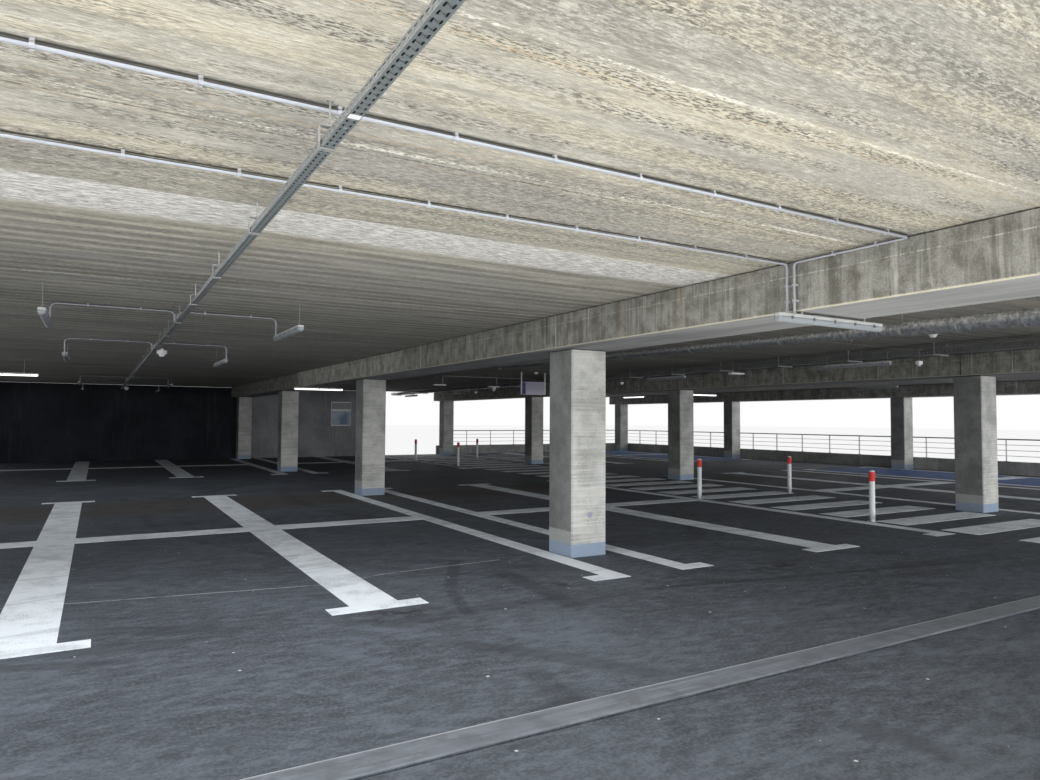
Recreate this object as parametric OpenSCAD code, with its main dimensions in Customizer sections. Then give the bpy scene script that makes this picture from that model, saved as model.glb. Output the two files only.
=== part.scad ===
// One storey of a multi storey car park, with the parking deck over it.
// Columns stand in four rows on the ground slab, beams run along the rows in Y,
// and deck units span from beam to beam in X.
// The origin is in the middle of the ground slab's underside, +Z is up.

/* [Grid] */
// Distance from column row 1 to row 2
span_west = 8600; // [8300:50:9000]
// Distance from column row 2 to row 3
span_mid = 8800; // [8500:50:9200]
// Distance from column row 3 to row 4
span_east = 10100; // [9800:50:10500]
// Spacing of the columns along a row
bay_pitch = 7750; // [7600:50:8000]
// Reach of the slabs past the outer column axes
deck_overhang = 450; // [450:10:520]

/* [Columns] */
// Side of a square column
column_w = 500; // [400:10:510]
// Bevel on a column's corners
column_bevel = 15; // [8:1:30]
// Height of a column above the floor
column_h = 2430; // [2350:10:2600]

/* [Beams] */
// Width of a beam
beam_w = 800; // [700:10:800]
// Depth of a beam
beam_d = 380; // [340:10:480]
// Offset of the beams from the column axes, towards -X
beam_shift = 50; // [0:5:50]
// Bevel on a beam's lower edges
beam_bevel = 15; // [8:1:30]
// Open joint between two beams over a column
beam_joint = 20; // [10:1:30]
// Thickness of the bearing pads and strips
pad_t = 10; // [6:1:15]
// Distance of a pad or strip from the edge of its seat
pad_inset = 25; // [15:1:40]

/* [Decks] */
// Thickness of the ground slab
floor_t = 300; // [250:10:400]
// Thickness of a deck unit
unit_t = 200; // [160:10:260]
// Open joint between deck units
unit_joint = 12; // [6:1:20]
// Length of a deck unit's seat on its beam
unit_seat = 140; // [110:5:180]
// Thickness of the topping over the deck units
topping_t = 100; // [80:5:140]
// Distance from the front edge of the slabs to the movement joint
joint_setback = 4110; // [3800:10:4400]
// Width of the movement joint
joint_w = 20; // [12:1:30]
// Width of the strip beside the movement joint
strip_w = 225; // [150:5:260]
// Height of the strip beside the movement joint
strip_h = 10; // [6:1:16]

/* [Parking bays] */
// Width of a bay west of column row 2
bay_w_west = 2540; // [2450:10:2600]
// Width of a bay east of column row 2
bay_w_mid = 2485; // [2400:10:2500]
// Width of a bay east of column row 3
bay_w_east = 2600; // [2450:10:2650]
// Depth of a bay
bay_depth = 5150; // [4900:10:5200]
// Offset of a bay block from the middle of its column bay, towards -Y
block_shift = 95; // [0:5:150]
// Thickness of the paint lines
line_t = 3; // [2:0.5:5]
// Width of the line between two bays
line_wide = 430; // [300:10:450]
// Width of the line beside a column row
line_narrow = 240; // [150:10:250]
// Width of the line between bays head to head
line_cross = 440; // [300:10:450]
// Length of the foot on a wide line
foot_wide = 850; // [700:10:900]
// Length of the foot on a narrow line
foot_narrow = 460; // [300:10:500]
// Depth of a line's foot
foot_d = 210; // [150:10:250]
// Distance from a column axis to the narrow line on its west
flank_west = 395; // [380:5:420]
// Distance from a column axis to the narrow line on its east
flank_east = 545; // [500:5:560]
// Distance from the last line in the east span to the bay for disabled drivers
wide_bay_gap = 800; // [600:10:900]

/* [Walkway] */
// Width of the marked walkway
walk_w = 2600; // [2400:10:2600]
// Distance from the last bay line to the walkway
walk_gap = 185; // [150:5:200]
// Depth of a walkway stripe
stripe_d = 525; // [400:5:600]
// Spacing of the walkway stripes
stripe_pitch = 1054; // [900:2:1100]
// Height of a walkway post
post_h = 820; // [700:10:1000]
// Diameter of a walkway post
post_d = 88; // [70:1:100]
// Height of the red band on a walkway post
post_band_h = 150; // [100:5:200]

/* [Edges and walls] */
// Height of an upstand
upstand_h = 400; // [300:10:500]
// Thickness of an upstand
upstand_t = 150; // [120:5:170]
// Height of a handrail above the deck
rail_h = 1100; // [1000:10:1200]
// Diameter of a handrail
handrail_d = 42; // [34:1:50]
// Diameter of an infill rail
infill_d = 16; // [10:1:22]
// Number of infill rails
infill_count = 3; // [2:1:5]
// Largest spacing of the railing posts
rail_post_pitch = 1300; // [1100:50:2000]
// Width of a railing post
rail_post_w = 50; // [30:1:60]
// Thickness of an end wall
wall_t = 185; // [150:5:190]
// Width of the window
window_w = 900; // [600:10:1200]
// Height of the window
window_h = 1030; // [600:10:1050]
// Height of the window sill above the floor
window_sill = 1300; // [1100:10:1350]
// Distance from column row 2 to the window's middle
window_x = 4000; // [3000:10:4400]
// Width of the window frame's bars
frame_w = 60; // [40:1:90]

/* [Services] */
// Distance from column row 2 to the middle of the narrow cable tray
tray_x = 4310; // [3800:5:4600]
// Width of the narrow cable tray
tray_w = 50; // [50:5:100]
// Height of the narrow cable tray's sides
tray_h = 35; // [25:5:60]
// Gap between the narrow cable tray and the soffit
tray_drop = 155; // [130:5:180]
// Sheet thickness of the cable trays
tray_sheet = 2; // [1:0.5:3]
// Distance from column row 3 to the middle of the wide cable tray
wide_tray_x = 2500; // [2300:10:2700]
// Width of the wide cable tray
wide_tray_w = 300; // [200:10:400]
// Height of the wide cable tray's sides
wide_tray_h = 95; // [60:5:110]
// Gap between the wide cable tray and the soffit
wide_tray_drop = 80; // [60:5:120]
// Spacing of the tray hangers
hanger_pitch = 1485; // [1300:5:1800]
// Diameter of a conduit
conduit_d = 20; // [16:1:25]
// Spacing of the clips on a conduit
clip_pitch = 505; // [400:5:800]
// Length of a strip light
light_l = 1270; // [1000:10:1500]
// Width of a strip light
light_w = 75; // [60:1:100]
// Height of a strip light
light_h = 68; // [55:1:90]
// Height of a hung strip light's top above the floor
light_top = 2590; // [2500:5:2650]
// Diameter of the drain pipe at its high end
drain_d = 100; // [90:1:110]
// Diameter of the drain pipe at its low end
wrap_d = 155; // [140:5:180]
// Height of the drain pipe's low end above the floor
drain_low = 2475; // [2400:5:2490]
// Fall of the drain pipe
drain_fall = 0.016; // [0.01:0.001:0.018]
// Length of the hanging sign
sign_l = 750; // [600:10:900]
// Height of the hanging sign
sign_h = 335; // [250:5:360]
// Thickness of the hanging sign
sign_t = 50; // [40:5:90]
// Height of the hanging sign's underside above the floor
sign_z = 2260; // [2200:10:2350]

/* [Hidden] */
$fn = 32;

// Grid, measured from the middle of the slabs
half_x = (span_west + span_mid + span_east) / 2;
row_x = [-half_x, -half_x + span_west, half_x - span_east, half_x];
line_y = [for (k = [-2:2]) k * bay_pitch];
deck_x = half_x + deck_overhang;
deck_y = 2 * bay_pitch + deck_overhang;
joint_y = -deck_y + joint_setback;

// Levels
floor_z = floor_t;
beam_z = floor_z + column_h + pad_t;
beam_top = beam_z + beam_d;
soffit_z = beam_top + pad_t;
unit_top = soffit_z + unit_t;
upper_z = unit_top + topping_t;
clear = 5;
seam = 10;
touch = 0.3;

// Bay lines
blocks = [-bay_pitch * 2.5 - block_shift, -bay_pitch / 2 - block_shift, bay_pitch * 1.5 - block_shift];
line_south = -deck_y + upstand_t + 50;
line_north = deck_y - wall_t - 60;
west_lines = [row_x[1] - flank_west - 2 * bay_w_west, row_x[1] - flank_west - bay_w_west];
mid_first = row_x[1] + flank_east;
mid_last = mid_first + 2 * bay_w_mid;
east_first = row_x[2] + flank_east;
east_last = east_first + 2 * bay_w_east;
blue_last = row_x[3] - flank_west;
blue_first = east_last + wide_bay_gap;
wide_lines = [west_lines[0], west_lines[1], mid_first + bay_w_mid, east_first + bay_w_east];
// Middle of each narrow line, and the side its foot points to
narrow_lines = [
  [row_x[0] + flank_east, 1], [row_x[1] - flank_west, -1],
  [mid_first, 1], [mid_last, -1],
  [east_first, 1], [east_last, -1],
  [blue_first, 1], [blue_last, -1]
];
cross_runs = [
  [row_x[0] + flank_east, row_x[1] - flank_west],
  [mid_first, mid_last],
  [east_first, east_last],
  [blue_first, blue_last]
];
blue_margin = 20;

// Walkway
walk_x0 = mid_last + line_narrow / 2 + walk_gap;
walk_x1 = walk_x0 + walk_w;
stripe_lead = 55;
stripe_mid = blocks[1] - bay_depth + stripe_lead;
stripe_low = -floor((stripe_mid - stripe_d / 2 - line_south) / stripe_pitch);
stripe_high = floor((line_north - stripe_d / 2 - stripe_mid) / stripe_pitch);
post_inset = 75;
post_flange_d = 150;
post_flange_t = 8;
post_cap_h = 25;
// Posts stand at the west edge, the west edge again and the east edge, in both bay blocks
post_places = [for (k = [0, 2]) each [
  [walk_x0 - post_inset, line_y[1 + k]],
  [walk_x0 - post_inset, line_y[1 + k] + bay_pitch / 2],
  [walk_x1 - post_inset / 3, line_y[1 + k] + bay_pitch / 2 - post_inset]
]];

// Aisles
aisle_mid = [blocks[1] - bay_pitch, blocks[1] + bay_pitch];
aisle_half = bay_pitch - bay_depth;

// Deck units run between these lines
unit_lines = [-deck_y, joint_y, line_y[1], line_y[1] + bay_pitch / 2, line_y[2],
  line_y[2] + bay_pitch / 2, line_y[3], line_y[3] + bay_pitch / 2, deck_y];

// Paint bays
module patch(x0, x1, y0, y1) {
  translate([x0, y0]) square([x1 - x0, y1 - y0]);
}

module line_feet(x0, x1, block) {
  if (block - bay_depth > line_south)
    patch(x0, x1, block - bay_depth, block - bay_depth + foot_d);
  if (block + bay_depth < line_north)
    patch(x0, x1, block + bay_depth - foot_d, block + bay_depth);
}

module bay_plan() {
  for (block = blocks) {
    y0 = max(block - bay_depth, line_south);
    y1 = min(block + bay_depth, line_north);
    for (x = wide_lines) {
      patch(x - line_wide / 2, x + line_wide / 2, y0, y1);
      line_feet(x - foot_wide / 2, x + foot_wide / 2, block);
    }
    for (line = narrow_lines) {
      edge = line[0] - line[1] * line_narrow / 2;
      patch(line[0] - line_narrow / 2, line[0] + line_narrow / 2, y0, y1);
      line_feet(min(edge, edge + line[1] * foot_narrow), max(edge, edge + line[1] * foot_narrow), block);
    }
    if (block > line_south)
      for (run = cross_runs)
        patch(run[0], run[1], block - line_cross / 2, block + line_cross / 2);
  }
}

module stripe_plan() {
  for (k = [stripe_low:stripe_high])
    patch(walk_x0, walk_x1, stripe_mid + k * stripe_pitch - stripe_d / 2,
      stripe_mid + k * stripe_pitch + stripe_d / 2);
}

module blue_plan() {
  x0 = blue_first + line_narrow / 2 + blue_margin;
  x1 = blue_last - line_narrow / 2 - blue_margin;
  reach = bay_depth - foot_d - blue_margin;
  head = line_cross / 2 + blue_margin;
  for (block = [blocks[1], blocks[2]]) {
    patch(x0, x1, block - reach, block - head);
    patch(x0, x1, block + head, min(block + reach, line_north));
  }
}

module at_floor() {
  translate([0, 0, floor_z]) children();
}

module at_upper() {
  translate([0, 0, upper_z]) children();
}

module bay_lines() {
  color("gainsboro") at_floor() linear_extrude(line_t) bay_plan();
}

// The stripes stop short of the feet of the walkway posts
module walkway_stripes() {
  color("gainsboro") at_floor() linear_extrude(line_t) difference() {
    stripe_plan();
    for (p = post_places)
      translate(p) circle(d = post_flange_d + 2 * clear);
  }
}

module blue_bays() {
  color("steelblue") at_floor() linear_extrude(line_t) blue_plan();
}

module upper_markings() {
  color("gainsboro") at_upper() linear_extrude(line_t) {
    bay_plan();
    stripe_plan();
  }
}

module upper_blue_bays() {
  color("steelblue") at_upper() linear_extrude(line_t) blue_plan();
}

// Slabs on both sides of the movement joint
module split_plate(z0, t) {
  translate([-deck_x, -deck_y, z0]) cube([2 * deck_x, joint_setback - joint_w / 2, t]);
  translate([-deck_x, joint_y + joint_w / 2, z0]) cube([2 * deck_x, deck_y - joint_y - joint_w / 2, t]);
}

module ground_slab() {
  color("dimgray") split_plate(0, floor_t);
}

// The topping fills the gap between the deck units over each beam row
module deck_topping() {
  color("dimgray") {
    for (part = [[-deck_y, joint_y - joint_w / 2], [joint_y + joint_w / 2, deck_y]])
      union() {
        translate([-deck_x, part[0], unit_top]) cube([2 * deck_x, part[1] - part[0], topping_t]);
        for (k = [0:3])
          translate([stitch(k)[0], part[0], beam_top])
            cube([stitch(k)[1] - stitch(k)[0], part[1] - part[0], unit_top - beam_top + 1]);
      }
  }
}

// Low and high X of the concrete between the deck units over row k
function beam_face(k, side) = row_x[k] - beam_shift + side * beam_w / 2;
function stitch(k) = [
  k == 0 ? -deck_x : beam_face(k, -1) + unit_seat + clear,
  k == 3 ? deck_x : beam_face(k, 1) - unit_seat - clear
];

module joint_strip() {
  bevel = strip_h;
  rotate([90, 0, 90])
    linear_extrude(2 * (deck_x - upstand_t - clear), center = true)
      polygon([
        [0, 0], [strip_w, 0], [strip_w, strip_h / 3],
        [strip_w - bevel, strip_h], [bevel / 2, strip_h], [0, strip_h / 2]
      ]);
}

module movement_joint_strips() {
  for (z = [floor_z, upper_z])
    color("slategray") translate([0, joint_y + joint_w / 2 + clear, z]) joint_strip();
}

// A square with bevelled corners, centred
module bevelled_square(w, bevel) {
  h = w / 2;
  polygon([
    [-h + bevel, -h], [h - bevel, -h], [h, -h + bevel], [h, h - bevel],
    [h - bevel, h], [-h + bevel, h], [-h, h - bevel], [-h, -h + bevel]
  ]);
}

module columns_row(k) {
  for (y = line_y)
    color("lightgray") translate([row_x[k], y, floor_z])
      linear_extrude(column_h) bevelled_square(column_w, column_bevel);
}

module beam_section() {
  h = beam_w / 2;
  polygon([
    [-h + beam_bevel, 0], [h - beam_bevel, 0], [h, beam_bevel],
    [h, beam_d], [-h, beam_d], [-h, beam_bevel]
  ]);
}

module beam(y0, y1) {
  translate([0, y1, 0]) rotate([90, 0, 0]) linear_extrude(y1 - y0) beam_section();
}

module beams_row(k) {
  gap = beam_joint / 2;
  starts = [-deck_y, line_y[1] + gap, line_y[2] + gap, line_y[3] + gap];
  ends = [line_y[1] - gap, line_y[2] - gap, line_y[3] - gap, deck_y];
  for (i = [0:3])
    color("darkgray") translate([row_x[k] - beam_shift, 0, beam_z]) beam(starts[i], ends[i]);
}

// Column pads, and the strips that the deck units rest on
module bearing_pads() {
  pad_w = column_w - 2 * pad_inset;
  seat_w = unit_seat - pad_inset;
  color("black") {
    for (x = row_x, y = line_y)
      translate([x - pad_w / 2, y - pad_w / 2, beam_z - pad_t]) cube([pad_w, pad_w, pad_t]);
    for (k = [0:2])
      translate([beam_face(k, 1) - unit_seat, -deck_y + pad_inset, beam_top])
        cube([seat_w, 2 * (deck_y - pad_inset), pad_t]);
    for (k = [1:3])
      translate([beam_face(k, -1) + pad_inset, -deck_y + pad_inset, beam_top])
        cube([seat_w, 2 * (deck_y - pad_inset), pad_t]);
  }
}

module deck_units(k) {
  x0 = beam_face(k, 1) - unit_seat;
  x1 = beam_face(k + 1, -1) + unit_seat;
  last = len(unit_lines) - 1;
  for (i = [0:last - 1]) {
    y0 = unit_lines[i] + (i == 0 ? 0 : unit_joint / 2);
    y1 = unit_lines[i + 1] - (i == last - 1 ? 0 : unit_joint / 2);
    color("tan") translate([x0, y0, soffit_z]) cube([x1 - x0, y1 - y0, unit_t]);
  }
}

// Upstands and railings follow the same runs: low X, low Y, high X, high Y
edge_in = deck_x - upstand_t;
edge_iny = deck_y - upstand_t;
walk_open = 60;
aisle_south = [aisle_mid[0] - aisle_half, aisle_mid[0] + aisle_half];
aisle_north = [aisle_mid[1] - aisle_half, aisle_mid[1] + aisle_half];
floor_runs = [
  [edge_in, -deck_y, deck_x, deck_y],
  [walk_x1 + walk_open, edge_iny, edge_in - seam, deck_y],
  [-deck_x, -deck_y, walk_x0 - walk_open - 2 * post_inset, -edge_iny],
  [walk_x1 + walk_open + 2 * post_inset, -deck_y, edge_in - seam, -edge_iny],
  [-deck_x, aisle_south[1], -edge_in, aisle_north[0]],
  [-deck_x, aisle_north[1], -edge_in, deck_y - wall_t - seam]
];
upper_runs = [
  [edge_in, -deck_y, deck_x, deck_y],
  [-deck_x, -deck_y, -edge_in, deck_y],
  [-edge_in + seam, edge_iny, edge_in - seam, deck_y],
  [-edge_in + seam, -deck_y, edge_in - seam, -edge_iny]
];

module upstand_profile(t) {
  bevel = 12;
  polygon([
    [0, 0], [t, 0], [t, upstand_h - bevel], [t - bevel, upstand_h],
    [bevel, upstand_h], [0, upstand_h - bevel]
  ]);
}

module upstand(run) {
  dx = run[2] - run[0];
  dy = run[3] - run[1];
  if (dx > dy)
    translate([run[0], run[1], 0]) rotate([90, 0, 90]) linear_extrude(dx) upstand_profile(dy);
  else
    translate([run[0], run[3], 0]) rotate([90, 0, 0]) linear_extrude(dy) upstand_profile(dx);
}

// A railing along X from 0 to len, standing on the upstand, one solid
module railing(len) {
  end = 120;
  posts = ceil((len - 2 * end) / rail_post_pitch);
  step = (len - 2 * end) / posts;
  foot_w = 110;
  foot_t = 10;
  post_t = 14;
  top = rail_h - upstand_h - handrail_d / 2;
  translate([0, 0, top]) rotate([0, 90, 0]) cylinder(d = handrail_d, h = len);
  for (i = [1:infill_count])
    translate([end / 2, 0, i * top / (infill_count + 1)])
      rotate([0, 90, 0]) cylinder(d = infill_d, h = len - end, $fn = 16);
  for (i = [0:posts])
    translate([end + i * step, 0, 0]) {
      translate([-post_t / 2, -rail_post_w / 2, 0]) cube([post_t, rail_post_w, top]);
      translate([-foot_w / 2, -foot_w / 2, 0]) cube([foot_w, foot_w, foot_t]);
    }
}

module railings(runs) {
  for (run = runs) {
    dx = run[2] - run[0];
    dy = run[3] - run[1];
    color("silver")
      if (dx > dy)
        translate([run[0] + upstand_t, (run[1] + run[3]) / 2, upstand_h]) railing(dx - 2 * upstand_t);
      else
        translate([(run[0] + run[2]) / 2, run[1] + upstand_t, upstand_h]) rotate([0, 0, 90])
          railing(dy - 2 * upstand_t);
  }
}

module floor_upstands() {
  for (run = floor_runs)
    color("gray") at_floor() upstand(run);
}

module upper_upstands() {
  for (run = upper_runs)
    color("gray") at_upper() upstand(run);
}

module floor_railings() {
  at_floor() railings(floor_runs);
}

module upper_railings() {
  at_upper() railings(upper_runs);
}

// End walls stand between the floor and the soffit, notched under the beams
module end_wall(x0, x1) {
  difference() {
    translate([x0, deck_y - wall_t, floor_z]) cube([x1 - x0, wall_t, soffit_z - floor_z - seam]);
    for (k = [0:1])
      translate([beam_face(k, -1) - clear, deck_y - wall_t - 1, beam_z - clear])
        cube([beam_w + 2 * clear, wall_t + 2, soffit_z]);
  }
}

module window_hole(margin, depth) {
  translate([row_x[1] + window_x - window_w / 2 + margin, deck_y - wall_t - depth, floor_z + window_sill + margin])
    cube([window_w - 2 * margin, wall_t + 2 * depth, window_h - 2 * margin]);
}

module end_wall_west() {
  color("slategray") end_wall(-deck_x, row_x[1] - seam / 2);
}

module end_wall_mid() {
  color("gray") difference() {
    end_wall(row_x[1] + seam / 2, walk_x0 - walk_open);
    window_hole(0, 1);
  }
}

// Frame with a rail across and a pane in it, one solid
module wall_window() {
  frame_t = 70;
  pane_t = 24;
  x0 = row_x[1] + window_x - window_w / 2;
  y0 = deck_y - wall_t / 2;
  z0 = floor_z + window_sill;
  gap = 0.3;
  rail_up = 0.62;
  color("white") {
    difference() {
      translate([x0 + gap, y0 - frame_t / 2, z0])
        cube([window_w - 2 * gap, frame_t, window_h - gap]);
      translate([x0 + frame_w, y0 - frame_t, z0 + frame_w])
        cube([window_w - 2 * frame_w, 2 * frame_t, window_h - 2 * frame_w]);
    }
    translate([x0 + frame_w / 2, y0 - frame_t / 2, z0 + rail_up * window_h])
      cube([window_w - frame_w, frame_t, frame_w]);
    translate([x0 + frame_w / 2, y0 - pane_t / 2, z0 + frame_w / 2])
      cube([window_w - frame_w, pane_t, window_h - frame_w]);
  }
}

// A walkway post: flange, tube, band and domed cap in one turned profile
module walkway_post(i) {
  r = post_d / 2;
  band = 3;
  color("white") translate([post_places[i][0], post_places[i][1], floor_z])
    rotate_extrude() polygon([
      [0, 0], [post_flange_d / 2, 0], [post_flange_d / 2, post_flange_t * 0.6],
      [post_flange_d / 2 - 4, post_flange_t], [r, post_flange_t],
      [r, post_h - post_cap_h - post_band_h], [r + band, post_h - post_cap_h - post_band_h],
      [r + band, post_h - post_cap_h], [r, post_h - post_cap_h],
      [r, post_h - post_cap_h * 0.5], [r * 0.75, post_h - post_cap_h * 0.15], [0, post_h]
    ]);
}

// Cable trays: a folded sheet with lips along the top of its sides
module tray_section(w, h) {
  lip = 12;
  t = tray_sheet;
  difference() {
    translate([-w / 2, 0]) square([w, h]);
    translate([-w / 2 + t, t]) square([w - 2 * t, h - 2 * t]);
    translate([-w / 2 + lip, h - 2 * t]) square([w - 2 * lip, 3 * t]);
  }
}

tray_end = 150;
tray_z = soffit_z - tray_drop - tray_h;
wide_tray_z = soffit_z - wide_tray_drop - wide_tray_h;
narrow_tray_mid = row_x[1] - tray_x;
wide_tray_mid = row_x[2] - wide_tray_x;

module tray(x, z, w, h, y0) {
  len = deck_y - wall_t - tray_end - y0;
  translate([x, y0 + len, z]) rotate([90, 0, 0]) linear_extrude(len) tray_section(w, h);
}

module cable_tray() {
  color("slategray") tray(narrow_tray_mid, tray_z, tray_w, tray_h, -deck_y + tray_end);
}

module wide_cable_tray() {
  color("slategray") tray(wide_tray_mid, wide_tray_z, wide_tray_w, wide_tray_h, -deck_y + tray_end);
}

// A bracket open to +X holds the narrow tray, on one rod over the tray
module bracket_hanger() {
  bracket_d = 30;
  arm_t = 12;
  top_t = 6;
  web = [tray_w / 2 + 6, tray_w / 2 + 16];
  top_z = tray_z + 90;
  rod_d = 8;
  foot = [28, 16, 4];
  rod_x = narrow_tray_mid + 8;
  translate([narrow_tray_mid - web[1], -bracket_d / 2, 0]) {
    translate([0, 0, tray_z - arm_t]) cube([web[1] + tray_w / 2, bracket_d, arm_t]);
    translate([0, 0, tray_z - arm_t]) cube([web[1] - web[0], bracket_d, top_z - tray_z + arm_t]);
    translate([0, 0, top_z - top_t]) cube([web[1] + tray_w / 2, bracket_d, top_t]);
  }
  translate([rod_x, 0, top_z - top_t / 2]) cylinder(d = rod_d, h = soffit_z - top_z + top_t / 2, $fn = 16);
  translate([rod_x - foot[0] / 2, -foot[1] / 2, soffit_z - foot[2]]) cube(foot);
}

// A rail under the wide tray hangs on a rod at each side
module rail_hanger() {
  rail_h2 = 21;
  rail_d2 = 41;
  rod_d = 10;
  reach = 36;
  rod_in = 14;
  foot = [40, 40, 6];
  half = wide_tray_w / 2 + reach;
  translate([wide_tray_mid - half, -rail_d2 / 2, wide_tray_z - rail_h2]) cube([2 * half, rail_d2, rail_h2]);
  for (side = [-1, 1])
    translate([wide_tray_mid + side * (half - rod_in), 0, 0]) {
      translate([0, 0, wide_tray_z - rail_h2 / 2])
        cylinder(d = rod_d, h = soffit_z - wide_tray_z + rail_h2 / 2, $fn = 16);
      translate([-foot[0] / 2, -foot[1] / 2, soffit_z - foot[2]]) cube(foot);
    }
}

conduit_z = soffit_z - conduit_d / 2 - 12;
conduit_y = [joint_y - 410, joint_y + 560];
drop_gap = 68;
light_y = conduit_y[1] - drop_gap / 2;
light_bracket_h = 22;
light_back = 370;

// The hangers are set out from the first conduit, clear of it, and those of the wide tray
// stand half a pitch further on
hanger_back = 35;
hanger_first = conduit_y[0] - hanger_back - 2 * hanger_pitch;
hanger_last = deck_y - wall_t - 2 * tray_end;

module tray_hangers() {
  color("silver") {
    for (y = [hanger_first:hanger_pitch:hanger_last])
      translate([0, y, 0]) bracket_hanger();
    for (y = [hanger_first + hanger_pitch / 2:hanger_pitch:hanger_last])
      translate([0, y, 0]) rail_hanger();
  }
}

// Conduits are runs of tube through a list of points, with bends where the run turns
function unit(v) = v / norm(v);

// A quarter bend about the corner point, from direction u to direction v
module bend(corner, u, v, r, d) {
  w = cross(-v, u);
  c = corner - r * u + r * v;
  multmatrix([
    [-v[0], u[0], w[0], c[0]], [-v[1], u[1], w[1], c[1]],
    [-v[2], u[2], w[2], c[2]], [0, 0, 0, 1]
  ])
    rotate_extrude(angle = 90) translate([r, 0]) circle(d = d, $fn = 16);
}

module tube_run(points, d) {
  last = len(points) - 1;
  r = 3 * d;
  for (i = [0:last - 1]) {
    v = unit(points[i + 1] - points[i]);
    p0 = points[i] + v * (i == 0 ? 0 : r);
    p1 = points[i + 1] - v * (i == last - 1 ? 0 : r);
    translate(p0) rotate([0, acos(v[2]), atan2(v[1], v[0])]) cylinder(d = d, h = norm(p1 - p0), $fn = 16);
  }
  if (last > 1)
    for (i = [1:last - 1])
      bend(points[i], unit(points[i] - points[i - 1]), unit(points[i + 1] - points[i]), r, d);
}

module conduit_clip(x, y) {
  w = conduit_d + 16;
  translate([x - 8, y - w / 2, conduit_z - conduit_d / 2 - 2])
    cube([16, w, soffit_z - conduit_z + conduit_d / 2 + 2]);
}

// Clips on a run along X, set in from both ends
module clip_row(x0, x1, y) {
  clip_in = 150;
  count = floor((x1 - x0 - 2 * clip_in) / clip_pitch);
  lead = (x1 - x0 - count * clip_pitch) / 2;
  for (i = [0:count])
    conduit_clip(x0 + lead + i * clip_pitch, y);
}

module ceiling_conduits() {
  x0 = beam_face(0, 1) + 30;
  x1 = beam_face(1, -1) - 2 * conduit_d;
  drop_y = [conduit_y[1] - drop_gap, conduit_y[1]];
  color("gainsboro") {
    tube_run([
      [x0, conduit_y[0], conduit_z], [x1, conduit_y[0], conduit_z],
      [x1, drop_y[0], conduit_z], [x1, drop_y[0], beam_z - light_bracket_h]
    ], conduit_d);
    tube_run([
      [x0, conduit_y[1], conduit_z], [x1, conduit_y[1], conduit_z],
      [x1, drop_y[1], beam_z - light_bracket_h]
    ], conduit_d);
    for (y = conduit_y)
      clip_row(x0, x1 - 3 * conduit_d, y);
  }
}

// Strip lights: a flat housing over a round cover, along Y, top at the origin
module strip_light() {
  r = light_w / 2;
  cover_h = light_h * 0.62;
  end_l = 20;
  rotate([90, 0, 0]) linear_extrude(light_l - end_l, center = true) {
    translate([-r * 0.86, cover_h - light_h]) square([r * 1.72, light_h - cover_h]);
    intersection() {
      translate([0, r - light_h]) circle(r);
      translate([-r, -light_h]) square([2 * r, cover_h + 2]);
    }
  }
  for (side = [-1, 1])
    translate([0, side * (light_l - end_l) / 2, -light_h / 2])
      cube([light_w * 0.92, end_l, light_h * 0.92], center = true);
}

// In the west span the lights hang in pairs, each with one end at a branch conduit
branch_reach = 1975;
branch_shift = 55;
branch_mid = [blocks[1] - branch_shift, blocks[2] - branch_shift];
branch_y = [for (y = branch_mid, way = [-1, 1]) [y + way * branch_reach, way]];
west_lights = 1150;
west_shift = 50;
west_mid = narrow_tray_mid - west_shift;
light_rod_d = 6;
light_z = floor_z + light_top;

module rod_up(x, y, top) {
  translate([x, y, light_z - light_h / 4])
    cylinder(d = light_rod_d, h = top - light_z + light_h / 4, $fn = 16);
}

// In the mid span they hang from hooks on the wide tray, in the east span from the soffit
first_tray_light = 500;
second_tray_light = 5300;
tray_light_y = [for (k = [1, 3], d = [first_tray_light, second_tray_light]) line_y[k] + d];
hook_out = 55;
wide_side = wide_tray_mid - wide_tray_w / 2;
wide_top = wide_tray_z + wide_tray_h;
east_mid = (row_x[2] + row_x[3]) / 2;

// A hook on the wide tray's low side, with its rod down to the height given
module tray_hook(y, low) {
  hook = [hook_out + light_rod_d, 16, 12];
  translate([wide_side - hook[0], y - hook[1] / 2, wide_top - 2 * hook[2]]) cube(hook);
  translate([wide_side - hook_out, y, low]) cylinder(d = light_rod_d, h = wide_top - low - hook[2], $fn = 16);
}

module hung_lights() {
  end = light_l / 2 - 60;
  color("white") {
    for (x = [west_mid - west_lights, west_mid + west_lights], b = branch_y) {
      translate([x, b[0] + b[1] * light_l / 2, light_z]) strip_light();
      rod_up(x, b[0] + b[1] * (light_l - 90), soffit_z);
    }
    for (y = tray_light_y) {
      translate([wide_side - hook_out, y, light_z]) strip_light();
      translate([east_mid, y, light_z]) strip_light();
      for (side = [-1, 1]) {
        tray_hook(y + side * end, light_z - light_h / 4);
        rod_up(east_mid, y + side * end, soffit_z);
      }
    }
  }
}

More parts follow.
